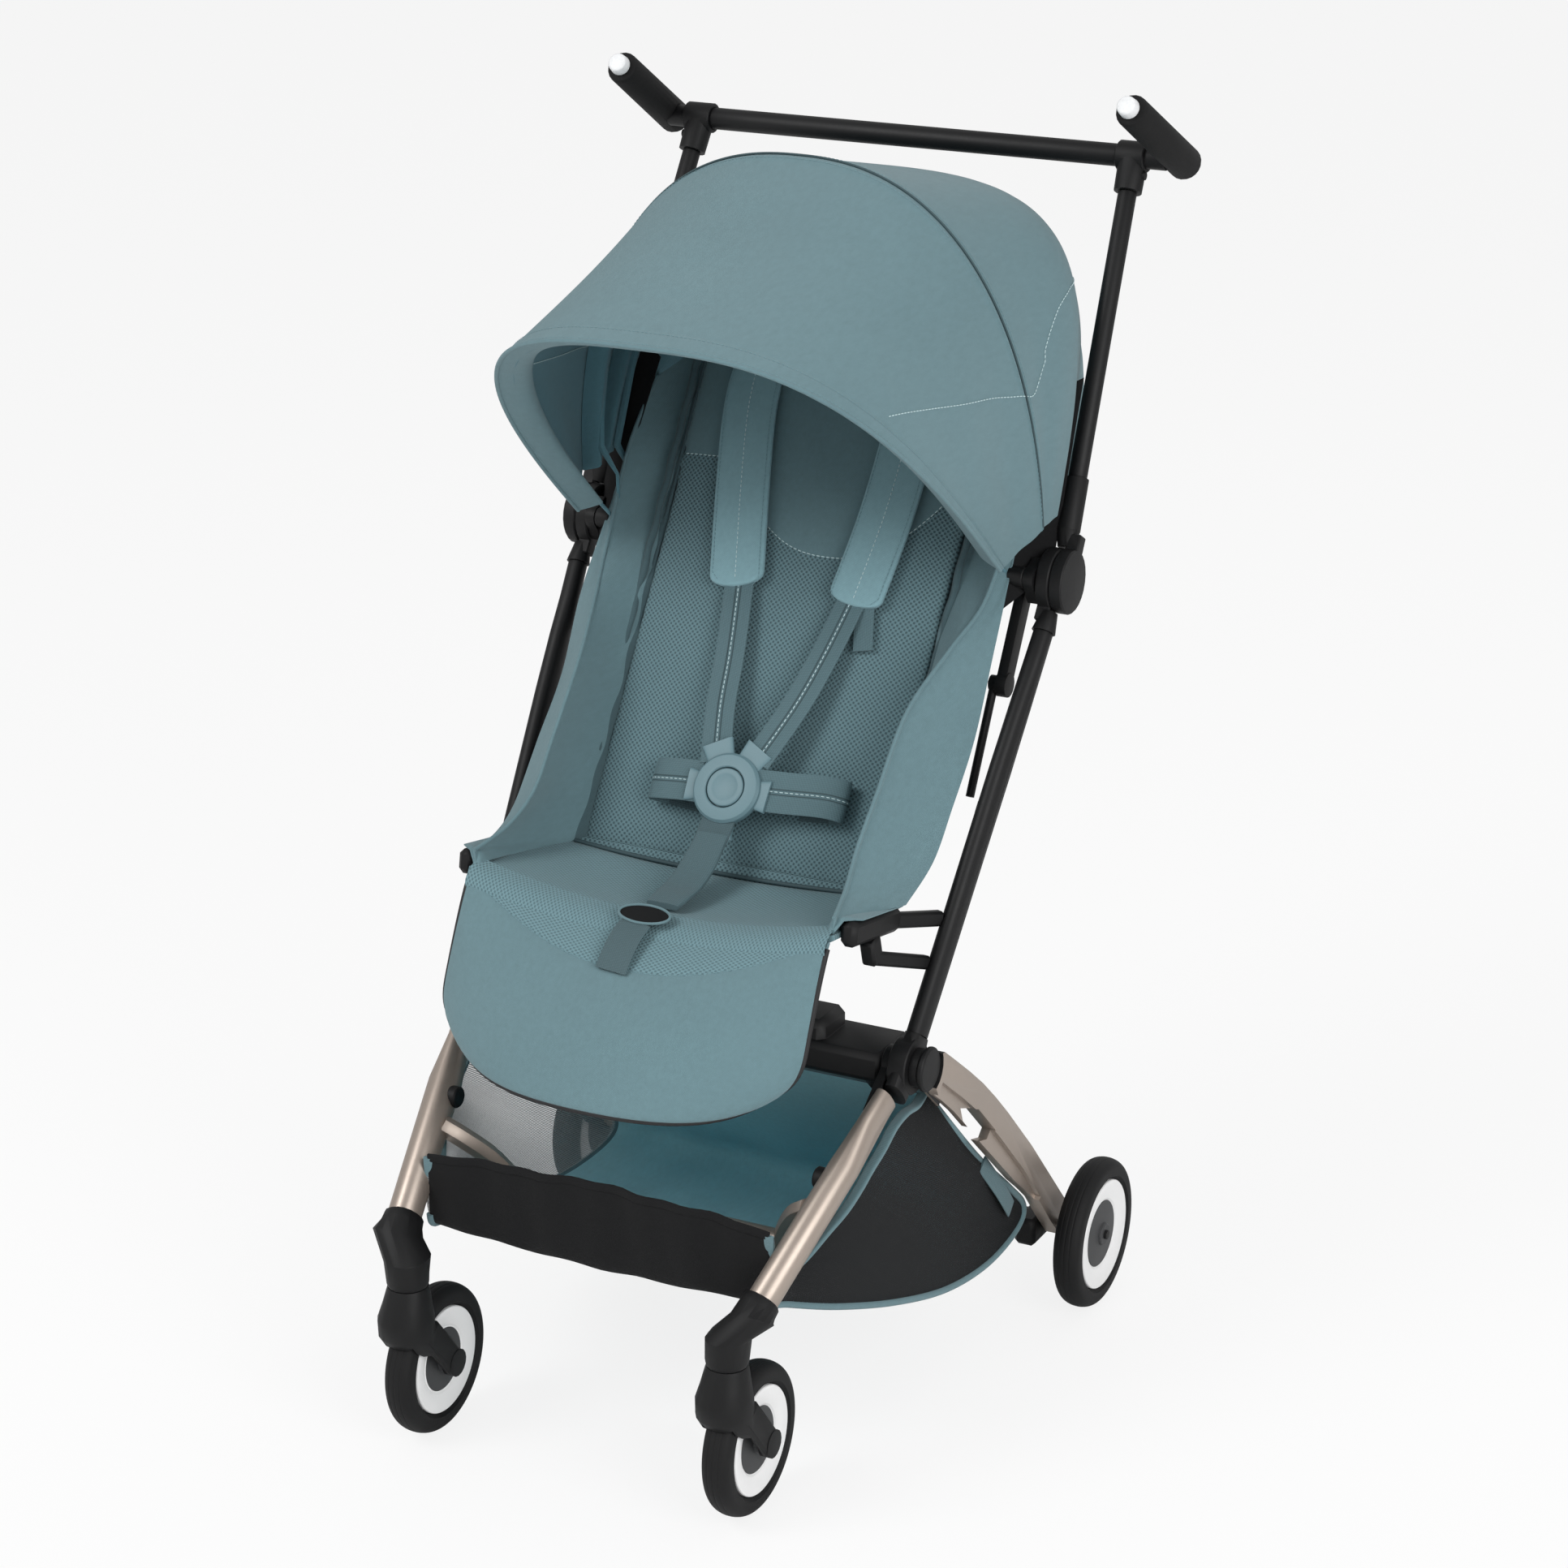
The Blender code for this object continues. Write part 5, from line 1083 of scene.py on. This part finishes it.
# Canopy: one sheet over the three bows, with its hem, seam and stitch line. Each arch has an angle round the
# pivot, a height, a half width, the power of its outline and the height at which its cloth ends
ANGLES = [30.0, 40.0, 52.0, 66.0, 93.1, 140.8]
TALL = [0.275, 0.304, 0.323, 0.317, 0.3227, 0.366]
HALF = [0.195, 0.198, 0.199, 0.211, 0.2095, 0.19]
POWER = [2.6, 2.9, 3.2, 3.4, 2.36, 2.95]
LOW = [0.1, 0.085, 0.066, 0.052, 0.042, 0.042]
MID, FRONT = 93.1, 140.8
REAR_ANGLES = (MID, 66.0, 52.0, 40.0, 30.0)
REAR_TURNS = [MID - angle for angle in REAR_ANGLES]
REAR_BOW_WAY = -REAR_TURNS[1] / REAR_TURNS[-1]


def hood_point(angle, part, inset=0.0, shift=0.0):
    """Part runs 0..1 from the +X edge over the crown to the -X edge of the arch at this angle."""
    tall, half, power, start = (float(np.interp(angle, ANGLES, k)) for k in (TALL, HALF, POWER, LOW))
    tall, half = tall - inset, half - inset
    first = math.asin((start / tall) ** (power / 2))
    turn = first + (math.pi - 2 * first) * part
    c, s = math.cos(turn), math.sin(turn)
    x = math.copysign(abs(c) ** (2 / power), c) * half
    up = abs(s) ** (2 / power) * tall
    a = math.radians(angle)
    y = PIVOT.y + up * math.cos(a) - shift * math.sin(a)
    return Vector((x, y, PIVOT.z + up * math.sin(a) + shift * math.cos(a)))


def hood_at(part, way, lift=0.0):
    """Way runs from -1 at the rear edge, through 0 at the middle seam, to 1 at the front hem."""
    if way >= 0:
        lead = 0.006 + 0.007 * abs(part * 2 - 1) ** 3
        a, b = hood_point(MID, part), hood_point(FRONT, part, 0.0, lead)
        p = a * (1 - way) + b * way
        slack = -0.0035 * math.sin(math.pi * way) * math.sin(math.pi * part) ** 0.5
        corner = math.sin(math.pi * way) * (bell(part, 0.07, 0.09) + bell(part, 0.93, 0.09))
        slack += 0.0016 * corner * math.sin(9 * way + 26 * part)
    else:
        keys = [hood_point(k, part) for k in REAR_ANGLES]
        place = float(np.interp(-way * REAR_TURNS[-1], REAR_TURNS, range(5)))
        i = min(int(place), 3)
        f = place - i
        q = [keys[max(0, min(4, i + k))] for k in (-1, 0, 1, 2)]
        p = 2 * q[1] + (q[2] - q[0]) * f + (2 * q[0] - 5 * q[1] + 4 * q[2] - q[3]) * f**2
        p = 0.5 * (p + (3 * q[1] - q[0] - 3 * q[2] + q[3]) * f**3)
        slack = -0.002 * math.sin(math.pi * f) ** 2
        slack += 0.0012 * (bell(part, 0.06, 0.08) + bell(part, 0.94, 0.08)) * math.sin(22 * way + 18 * part)
    away = (p - Vector((0, PIVOT.y, PIVOT.z + 0.08))).normalized()
    return p + away * (slack + lift)


def seam_lift(way):
    """Height of the hem band and of the ridges on either side of the middle seam."""
    hem = 0.0009 if way > 0.925 else 0.0
    hem -= 0.0006 * bell(way, 0.925, 0.006)
    return hem + 0.0007 * bell(abs(way), 0.022, 0.01) - 0.0009 * bell(way, 0, 0.005)


ways = [*np.linspace(-1, -0.08, 36), *np.linspace(-0.06, 0.06, 17), *np.linspace(0.09, 0.9, 30)]
ways += [*np.linspace(0.912, 1.0, 12)]
hood_grid = np.array([[tuple(hood_at(c / 110, w, seam_lift(w))) for c in range(111)] for w in ways])
canopy = thick_sheet("canopy_cover", hood_grid, [teal, inner], 0.0015, offset=-1, inside=1)
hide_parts("canopy_front_panel", "canopy_rear_panel")

LINE = [(0.206, 0.87), (0.175, 0.67), (0.15, 0.47), (0.131, 0.25), (0.116, 0.08), (0.106, -0.09)]
LINE += [(0.125, -0.2), (0.138, -0.22), (0.169, -0.31), (0.181, -0.36), (0.194, -0.43), (0.22, -0.55)]
line = curve_points([(u, w, 0) for u, w in LINE], 90)
marks = [[hood_at(u if s > 0 else 1 - u, w, 0.0005) for u, w, _ in line] for s in (1, -1)]
marks_in = [[hood_at(u if s > 0 else 1 - u, w, -0.0021) for u, w, _ in line] for s in (1, -1)]


def hood_line(way, ends, count, lift):
    """A line over the arch at one way, from one of the ends to the other."""
    return [hood_at(u, way, lift) for u in np.linspace(*ends, count)]


seams = [hood_line(w, (0.01, 0.99), 140, 0.001) for w in (-0.024, 0.024, 0.93, 0.985)]
on_canopy = [
    stitches("canopy_line", marks + marks_in, thread_light, 0.004, 0.0033, 0.00042),
    stitches("canopy_seam_stitches", seams, thread_tonal, 0.0036, 0.0027, 0.00024),
    swept("canopy_seam", hood_line(0.0, (0.002, 0.998), 140, 0.0003), 0.0009, material=thread_dark),
    swept("canopy_hem", hood_line(1.0, (0.0, 1.0), 150, 0.0), 0.0018, material=piping_teal),
    swept("canopy_rear_hem", hood_line(-1.0, (0.0, 1.0), 100, 0.0), 0.0018, material=piping_teal),
]
tunnel_cut = {}


def tunnel(name, steps, material):
    """A sewn tunnel that a bow runs in, on the inside of the cover, through (way, depth) steps."""
    grid = np.array([[tuple(hood_at(c / 90, min(w, 1.0), -deep)) for c in range(91)] for w, deep, _ in steps])
    tunnel_cut[name] = grid
    on_canopy.append(thick_sheet(name, grid, [material], 0.001, flip=True))


def bow_tunnel(name, way, reach, depth):
    stops = [(-1.0, 0.0022), (-0.62, depth * 0.86), (0.0, depth), (0.62, depth * 0.86), (1.0, 0.0022)]
    tunnel(name, curve_points([(way + k * reach, deep, 0) for k, deep in stops], 17), inner)


BAND = [(1.0, 0.0, 0), (0.996, 0.013, 0), (0.965, 0.0215, 0), (0.9, 0.0185, 0), (0.82, 0.0022, 0)]
tunnel("canopy_front_tunnel", curve_points(BAND, 25), teal)
bow_tunnel("canopy_mid_tunnel", 0.0, 0.09, 0.0185)
bow_tunnel("canopy_rear_tunnel", REAR_BOW_WAY, 0.09, 0.0175)
for piece in [canopy] + on_canopy:
    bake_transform(piece)
    if piece.name in tunnel_cut:
        cut_size(tunnel_cut[piece.name], [piece.name.replace("tunnel", "bow")])
cut_size(hood_grid, ["canopy_front_bow", "canopy_mid_bow", "canopy_rear_bow"])


# Harness: shoulder pads, straps with a thread stripe, waist loops, buckle and crotch strap
def back_path(points, count):
    return curve_points([back_at(*p) for p in points], count)


PAD = {
    "l": [(-0.079, 0.425, 0.01), (-0.076, 0.38, 0.011), (-0.064, 0.316, 0.012), (-0.0455, 0.232, 0.0135)],
    "r": [(0.07, 0.425, 0.01), (0.07, 0.37, 0.011), (0.068, 0.305, 0.012), (0.06, 0.23, 0.0135)],
}
STRAP = {
    "l": [(-0.0455, 0.245, 0.0125), (-0.034, 0.1783, 0.017), (-0.0268, 0.131, 0.023), (-0.015, 0.083, 0.03)],
    "r": [(0.06, 0.245, 0.0125), (0.05, 0.1907, 0.017), (0.0385, 0.1412, 0.023), (0.02, 0.088, 0.03)],
}
STRAP_HALF, WAIST_HALF, STRAP_THICK = 0.0128, 0.017, 0.0008
STRAP_THREAD = (0.0042, 0.0034, 0.0004)
PAD_THREAD, PAD_EDGE = (0.004, 0.003, 0.0004), (0.0036, 0.0028, 0.00025)


def strap(name, path, wide, thick, side, material, stripes=True, body="backrest"):
    """Webbing with a light thread stripe between two dark lines."""
    put(swept(name, path, wide, thick, side, 5.0, 20, material), body)
    if not stripes:
        return
    line = np.array(path, float)
    across = np.array(side, float)
    normal = np.cross(np.gradient(line, axis=0), across)
    normal /= np.linalg.norm(normal, axis=1)[:, None]
    if normal[len(line) // 2] @ np.array(BACK_FRONT) < 0:
        normal = -normal
    top = (line + normal * (thick + 0.00015))[1:-1]
    put(stitches(name + "_thread", [top], thread_light, *STRAP_THREAD), body)
    for k, way in enumerate((-1, 1)):
        run = top + across / np.linalg.norm(across) * way * 0.0022
        put(swept(f"{name}_line{k}", run, 0.0005, 0.0003, material=thread_dark, sides=8), body)


for label in "rl":
    path = back_path(PAD[label], 40)
    v = np.linspace(0, 1, 40)
    wide = 0.024 * np.minimum(1, ((1 - v) / 0.05 + 0.05) ** 0.35)
    wide[:8] *= np.linspace(0.9, 1.0, 8)
    cushion = swept(f"shoulder_pad_{label}", path, wide, 0.0034, (1, 0, 0), 4.0, 28, pad_cloth_lit)
    modified(cushion, "SUBSURF", levels=1, render_levels=1)
    put(finished(cushion), "backrest", "harness_" + label)
    middle = [Vector(p) + BACK_FRONT * 0.0037 for p in path[2:-2]]
    put(stitches(f"shoulder_pad_{label}_thread", [middle], thread_light, *PAD_THREAD), "backrest")
    face = [(Vector(p) + BACK_FRONT * 0.0032, w - 0.003) for p, w in zip(path[2:-1], wide[2:-1])]
    rim = [[p + Vector((way * w, 0, 0)) for p, w in face] for way in (-1, 1)]
    put(stitches(f"shoulder_pad_{label}_edge", rim, thread_tonal, *PAD_EDGE), "backrest")
    line = back_path(STRAP[label], 40)
    strap(f"shoulder_strap_{label}", line, STRAP_HALF, STRAP_THICK, (1, 0, 0), strap_teal)

# A loose webbing tail beside the right strap
tail = back_path([(0.07, 0.232, 0.012), (0.073, 0.215, 0.0105), (0.077, 0.196, 0.01)], 14)
put(swept("webbing_tail", tail, 0.0085, 0.0006, (1, 0, 0.0), 5.0, 12, strap_teal), "backrest")

WAIST = {
    "r": [(0.024, 0.066, 0.03), (0.05, 0.068, 0.0275), (0.082, 0.071, 0.024), (0.0965, 0.071, 0.019)],
    "l": [(-0.024, 0.065, 0.03), (-0.04, 0.065, 0.0275), (-0.06, 0.064, 0.024), (-0.07, 0.064, 0.019)],
}
for side, label in SIDES:
    x, up, _ = WAIST[label][-1]
    turn = (x - 0.012 * side, up, 0.0065)
    path = back_path(WAIST[label] + [(x + 0.001 * side, up, 0.012), turn], 40)
    strap(f"waist_strap_{label}", path, WAIST_HALF, STRAP_THICK, tuple(BACK_UP), strap_teal)
    # Painted shade: the turned-back end is the same webbing in the darker strap colour, for the shade under
    # the loop
    path = back_path([turn, (x - 0.04 * side, up - 0.002, 0.005)], 12)
    strap(f"waist_return_{label}", path, WAIST_HALF, 0.0007, tuple(BACK_UP), strap_dark, stripes=False)

# Buckle: shell with its recess, four tongues, the neck of the crotch strap, and the press
buckle_at = back_at(0.002, 0.063, 0.024)
shell = [(0.0, 0.0), (0.0245, 0.0), (0.028, 0.002), (0.0292, 0.0055), (0.0288, 0.0095), (0.0268, 0.0118)]
shell += [(0.02, 0.0128), (0.0176, 0.0129), (0.0168, 0.0122), (0.0162, 0.006), (0.0, 0.006)]
body = turned("buckle_shell", shell, buckle_at, finish["teal_plastic"], BACK_FRONT, 96)
tongues = []
for turn, reach in ((62, 0.041), (118, 0.041), (-2, 0.036), (182, 0.036)):
    c, s = math.cos(math.radians(turn)), math.sin(math.radians(turn))
    way = Vector((c, 0, 0)) + BACK_UP * s
    across = BACK_FRONT.cross(way)
    base = buckle_at + BACK_FRONT * 0.0055
    path = [(base + way * 0.02).lerp(base + way * reach, k / 8) for k in range(9)]
    wide = [0.0105 + 0.003 * (k / 8) for k in range(9)]
    tongues.append(swept("tongue", path, wide, 0.0024, tuple(across), 5.0, 20, finish["teal_plastic"]))
steps = ((0.022, 0.005), (0.034, 0.0045), (0.04, 0.0035))
neck = [buckle_at - BACK_UP * d + BACK_FRONT * f for d, f in steps]
wide = [0.0125, 0.012, 0.0135]
tongues.append(swept("neck", neck, wide, 0.0034, (1, 0, 0), 5.0, 20, finish["teal_plastic"]))
put(joined("buckle_body", [body] + tongues), "main_frame", "buckle", slot="teal_plastic")
face = [(0.0, 0.0085), (0.0156, 0.0085), (0.0157, 0.0118), (0.015, 0.0126)]
face += [(0.012, 0.0129), (0.0105, 0.0126), (0.0085, 0.0121), (0.0, 0.0118)]
dial = turned("buckle_press", face, buckle_at, finish["teal_plastic"], BACK_FRONT, 72)
put(dial, body_of["buckle_button"], "buckle_button", slot="teal_plastic")

# Crotch strap with its pad, the slot in the seat, and the strap that comes out below it
CROTCH = [(0.001, -0.06, 0.4775), (0.002, -0.085, 0.458), (0.002, -0.108, 0.443)]
CROTCH += [(0.002, -0.13, 0.435), (0.002, -0.15, 0.433), (0.002, -0.164, 0.431)]
path = curve_points(CROTCH, 50)
v = np.linspace(0, 1, 50)
wide = 0.0135 + 0.0022 * np.sin(np.pi * np.clip(v * 1.1 - 0.15, 0, 1))
pad = swept("crotch_pad", path[8:], wide[8:], 0.0026, (1, 0, 0), 4.0, 24, strap_deep)
put(pad, "main_frame")
put(swept("crotch_ledge", path[:14], 0.0145, 0.0012, (1, 0, 0), 5.0, 20, strap_dark), "main_frame")


def slot_oval(half_x, half_y, z, rise, count):
    """The strap slot's outline, tilted with the front of the seat."""
    turns = np.linspace(0, 2 * math.pi, count)[:-1]
    return [(half_x * math.cos(t), -0.189 + half_y * math.sin(t), z + rise * math.sin(t)) for t in turns]


ring = slot_oval(0.022, 0.01, 0.4322, 0.0034, 49)
put(swept("strap_slot_ring", ring, 0.0011, closed=True, material=piping_teal), "main_frame")
# Painted shade: a flat black plate inside the slot's ring, for the shade in the opening
bm = bmesh.new()
bm.faces.new([bm.verts.new(p) for p in slot_oval(0.0215, 0.0095, 0.432, 0.0032, 33)])
put(from_bmesh("strap_slot_dark", bm, finish["black_plastic"]), "main_frame")
LOWER = [(-0.002, -0.1965, 0.4272), (-0.003, -0.201, 0.4262), (-0.005, -0.212, 0.419)]
LOWER += [(-0.006, -0.223, 0.409), (-0.007, -0.231, 0.399)]
lower = curve_points(LOWER, 28)
strap("lower_strap", lower, 0.0135, STRAP_THICK, (1, 0, 0), strap_dark, stripes=False, body="leg_rest")


# Joins of the seat with the leg rest and the backrest
def join(name, rows, material, thick, neighbour):
    """Cloth that stretches from the seat, on the frame, to a body that turns."""
    made = thick_sheet(name, rows, [material], thick)
    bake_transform(made)
    cut_size(rows, ["seat_pad", neighbour])


REST_LIFT = Vector((0, -0.0044, 0.0022))
rows = []
for k in range(41):
    x = (k / 20 - 1) * REST_HALF
    front = Vector(seat_surface((x / SEAT_HALF + 1) / 2, 0.1)) + Vector((0, 0, seat_top(0.5, 0.1) + 0.0006))
    edge = Vector(seat_surface((x / SEAT_HALF + 1) / 2, 0.0)) + Vector((0, -0.001, 0.0035))
    u = (x / REST_HALF + 1) / 2
    low = [Vector(rest_surface(u, q)) + REST_LIFT * share for q, share in ((0.03, 1.0), (0.075, 0.2))]
    rows.append(curve_points([front, edge, *low], 13))
join("seat_front_join", rows, mesh_seat, 0.0008, "leg_rest")

rows = []
for k in range(31):
    x = (k / 15 - 1) * 0.133
    path = [(x, -0.076, 0.422), (x, -0.068, 0.4205), (x, -0.064, 0.4225)]
    rows.append(curve_points(path + [tuple(back_at(x, 0.004, 0.0005)), tuple(back_at(x, 0.009, 0.0005))], 13))
join("seat_back_join", rows, mesh_back, 0.001, "backrest_pad")
# Painted shade: a dark cord along the crease where the seat meets the backrest
line = [(0.138 * u, -0.0668, 0.424 + 0.006 * abs(u) ** 2.2) for u in np.linspace(-1, 1, 40)]
put(swept("seat_back_shade_line", line, 0.0018, material=thread_dark), "main_frame")

# Flaps of the seat over the rails, which end on their outer edge
for side, label in SIDES:
    rows = []
    for k in range(19):
        v = k / 18
        y = -0.18 + 0.084 * v
        top = 0.4522 - 0.015 * max(0.0, (y + 0.175) / 0.079)
        drop = 0.011 * (1 - min(1.0, v / 0.08)) ** 2
        section = [(0.0, top - 0.008), (0.006, top - 0.001), (0.011, top + 0.001), (0.018, top + 0.001)]
        section.append((0.0245, top + 0.0003))
        reach = min(1.0, 0.25 + v / 0.2)
        rows.append(curve_points([((0.152 + x * reach) * side, y, z - drop) for x, z in section], 15))
    flap = thick_sheet(f"seat_flap_{label}", rows, [teal], 0.001, flip=side < 0, offset=1)
    put(flap, "main_frame")
    cut_size(rows, ["seat_rail_" + label])

# Painted shade: dark sheets beside the canopy, which fill the gap between canopy, post and wing where shade
# falls
for side, label in SIDES:
    rows = []
    for k in range(21):
        v = k / 20
        a = np.array(((0.18 - 0.01 * v) * side, 0.064 + 0.09 * v, 0.63 + 0.15 * v))
        b = np.array((0.206 * side, 0.112 + 0.056 * v, 0.656 + 0.145 * v))
        rows.append([a * (1 - q) + b * q for q in np.linspace(0, 1, 7)])
    gap_shade_sheet = thick_sheet(f"side_shade_sheet_{label}", rows, [basket_black], 0.0012, flip=side > 0)
    put(gap_shade_sheet, "main_frame", slot="black_mesh")
    cut_size(rows, ["post_drum_" + label])
    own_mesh(gap_shade_sheet)

KNOB = [(0.0, 0.0), (0.008, 0.0), (0.0088, 0.001), (0.0088, 0.008), (0.0078, 0.0092), (0.0, 0.0096)]
for side, label in SIDES:
    at = Vector((0.169 * side, -0.2107, 0.2525))
    knob = turned(f"leg_knob_{label}", KNOB, at, finish["black_plastic"], (-side, 0, 0), 40)
    put(knob, "front_legs", slot="black_plastic")


# Basket: floor, rear wall, front band and sides, with piping, binding and tabs
RUN = [(-0.08, 0.278, 0.1895), (-0.03, 0.224, 0.194), (0.02, 0.176, 0.195), (0.07, 0.132, 0.1985)]
RUN += [(0.104, 0.1, 0.1975), (0.092, 0.082, 0.1965), (0.03, 0.079, 0.198), (-0.05, 0.092, 0.197)]
RUN += [(-0.13, 0.116, 0.19), (-0.2, 0.141, 0.174), (-0.25, 0.162, 0.156), (-0.27, 0.172, 0.152)]
RUN += [(-0.273, 0.195, 0.151), (-0.273, 0.228, 0.151)]
RIM = [(-0.08, 0.278, 0.1895), (-0.096, 0.272, 0.1895), (-0.115, 0.273, 0.189), (-0.135, 0.269, 0.1885)]
RIM += [(-0.155, 0.258, 0.188), (-0.172, 0.248, 0.186), (-0.188, 0.237, 0.184), (-0.204, 0.225, 0.18)]
RIM += [(-0.219, 0.213, 0.173), (-0.235, 0.198, 0.164), (-0.25, 0.19, 0.157), (-0.262, 0.193, 0.1535)]
RIM += [(-0.27, 0.205, 0.1515), (-0.273, 0.228, 0.151)]
STEPS, BAND_FROM = 105, 10.3 / 13
run, rim = (curve_points([(half, y, z) for y, z, half in line], STEPS) for line in (RUN, RIM))
body_grid = []
for i, (half, y, z) in enumerate(run):
    t = i / (STEPS - 1)
    front = max(0.0, min(1.0, (t - 0.8) / 0.12))
    row = []
    for j in range(41):
        u = j / 20 - 1
        sag = 0.01 * (1 - u * u) * math.sin(math.pi * t)
        crease = 0.0016 * math.sin(15 * u + 21 * t) * math.sin(math.pi * t) * (1 - u**4)
        wave = 0.0022 * math.sin(9 * u + 14 * t) + 0.0016 * math.sin(23 * u + 5 * t)
        arch = 0.008 * (1 - u * u) * max(0.0, (t - 0.9) / 0.1)
        row.append((half * u, y + front * wave * (1 - u**6), z - sag + crease * (1 - front) + arch))
    body_grid.append(row)
# Painted light: the second face of the floor and rear wall takes the much lighter inside cloth
cloths = [basket_teal, basket_inside, basket_black, basket_black]


def band_cloth(row, column):
    return 0 if row < BAND_FROM else 2


bottom = thick_sheet("basket_body", body_grid, cloths, 0.0012, band_cloth, inside=1)
sides, trims = [], []
for side, label in SIDES:
    rows = []
    for low, high in zip(run, rim):
        a, b = low * (side, 1, 1), high * (side, 1, 1)
        bulge = [np.array((0.004 * side * math.sin(math.pi * k / 10), 0, 0)) for k in range(11)]
        rows.append([a * (1 - k / 10) + b * k / 10 + bulge[k] for k in range(11)])
    # Painted light: the left wall takes the light grey copy of the net
    net = side_net if side < 0 else basket_net
    sides.append((thick_sheet(f"basket_side_{label}", rows, [net], 0.0008), rows, label))
TAB = [(0.1985, 0.015, 0.176), (0.2025, 0.04, 0.145), (0.203, 0.056, 0.126), (0.201, 0.07, 0.112)]
for side in (1, -1):
    edge = [(p[0] * side, p[1], p[2] - 0.0006) for p in run[:92]]
    trims.append(swept("trim", edge, 0.003, material=piping_teal))
    trims.append(swept("trim", rim * (side, 1, 1), 0.002, 0.0042, (0, 0, 1), 4.0, 16, piping_teal))
for side in (1, -1):
    path = curve_points([(x * side, y, z) for x, y, z in TAB], 24)
    trims.append(swept("tab", path, 0.0075, 0.0009, (0, 0.7, 0.7), 5.0, 16, strap_teal))
trims.append(swept("trim", body_grid[-1], 0.0034, 0.0016, (0, 0, 1), 4.0, 16, basket_black))
rear_lip = [(0.1895 * u, -0.08, 0.278) for u in np.linspace(-1, 1, 30)]
trims.append(swept("trim", rear_lip, 0.0018, 0.005, (0, 0, 1), 4.0, 16, piping_teal))
put(bottom, "main_frame", "basket", slot="black_mesh")
cut_size(body_grid, ["front_leg_r", "front_leg_l", "rear_leg_r", "rear_leg_l"])
for wall, rows, label in sides:
    put(wall, "main_frame", slot="black_mesh")
    cut_size(rows, ["front_leg_" + label, "rear_leg_" + label], upright=True)
edging = put(joined("basket_trim", trims), "main_frame")
for piece in [bottom, edging] + [wall for wall, _, _ in sides]:
    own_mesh(piece)
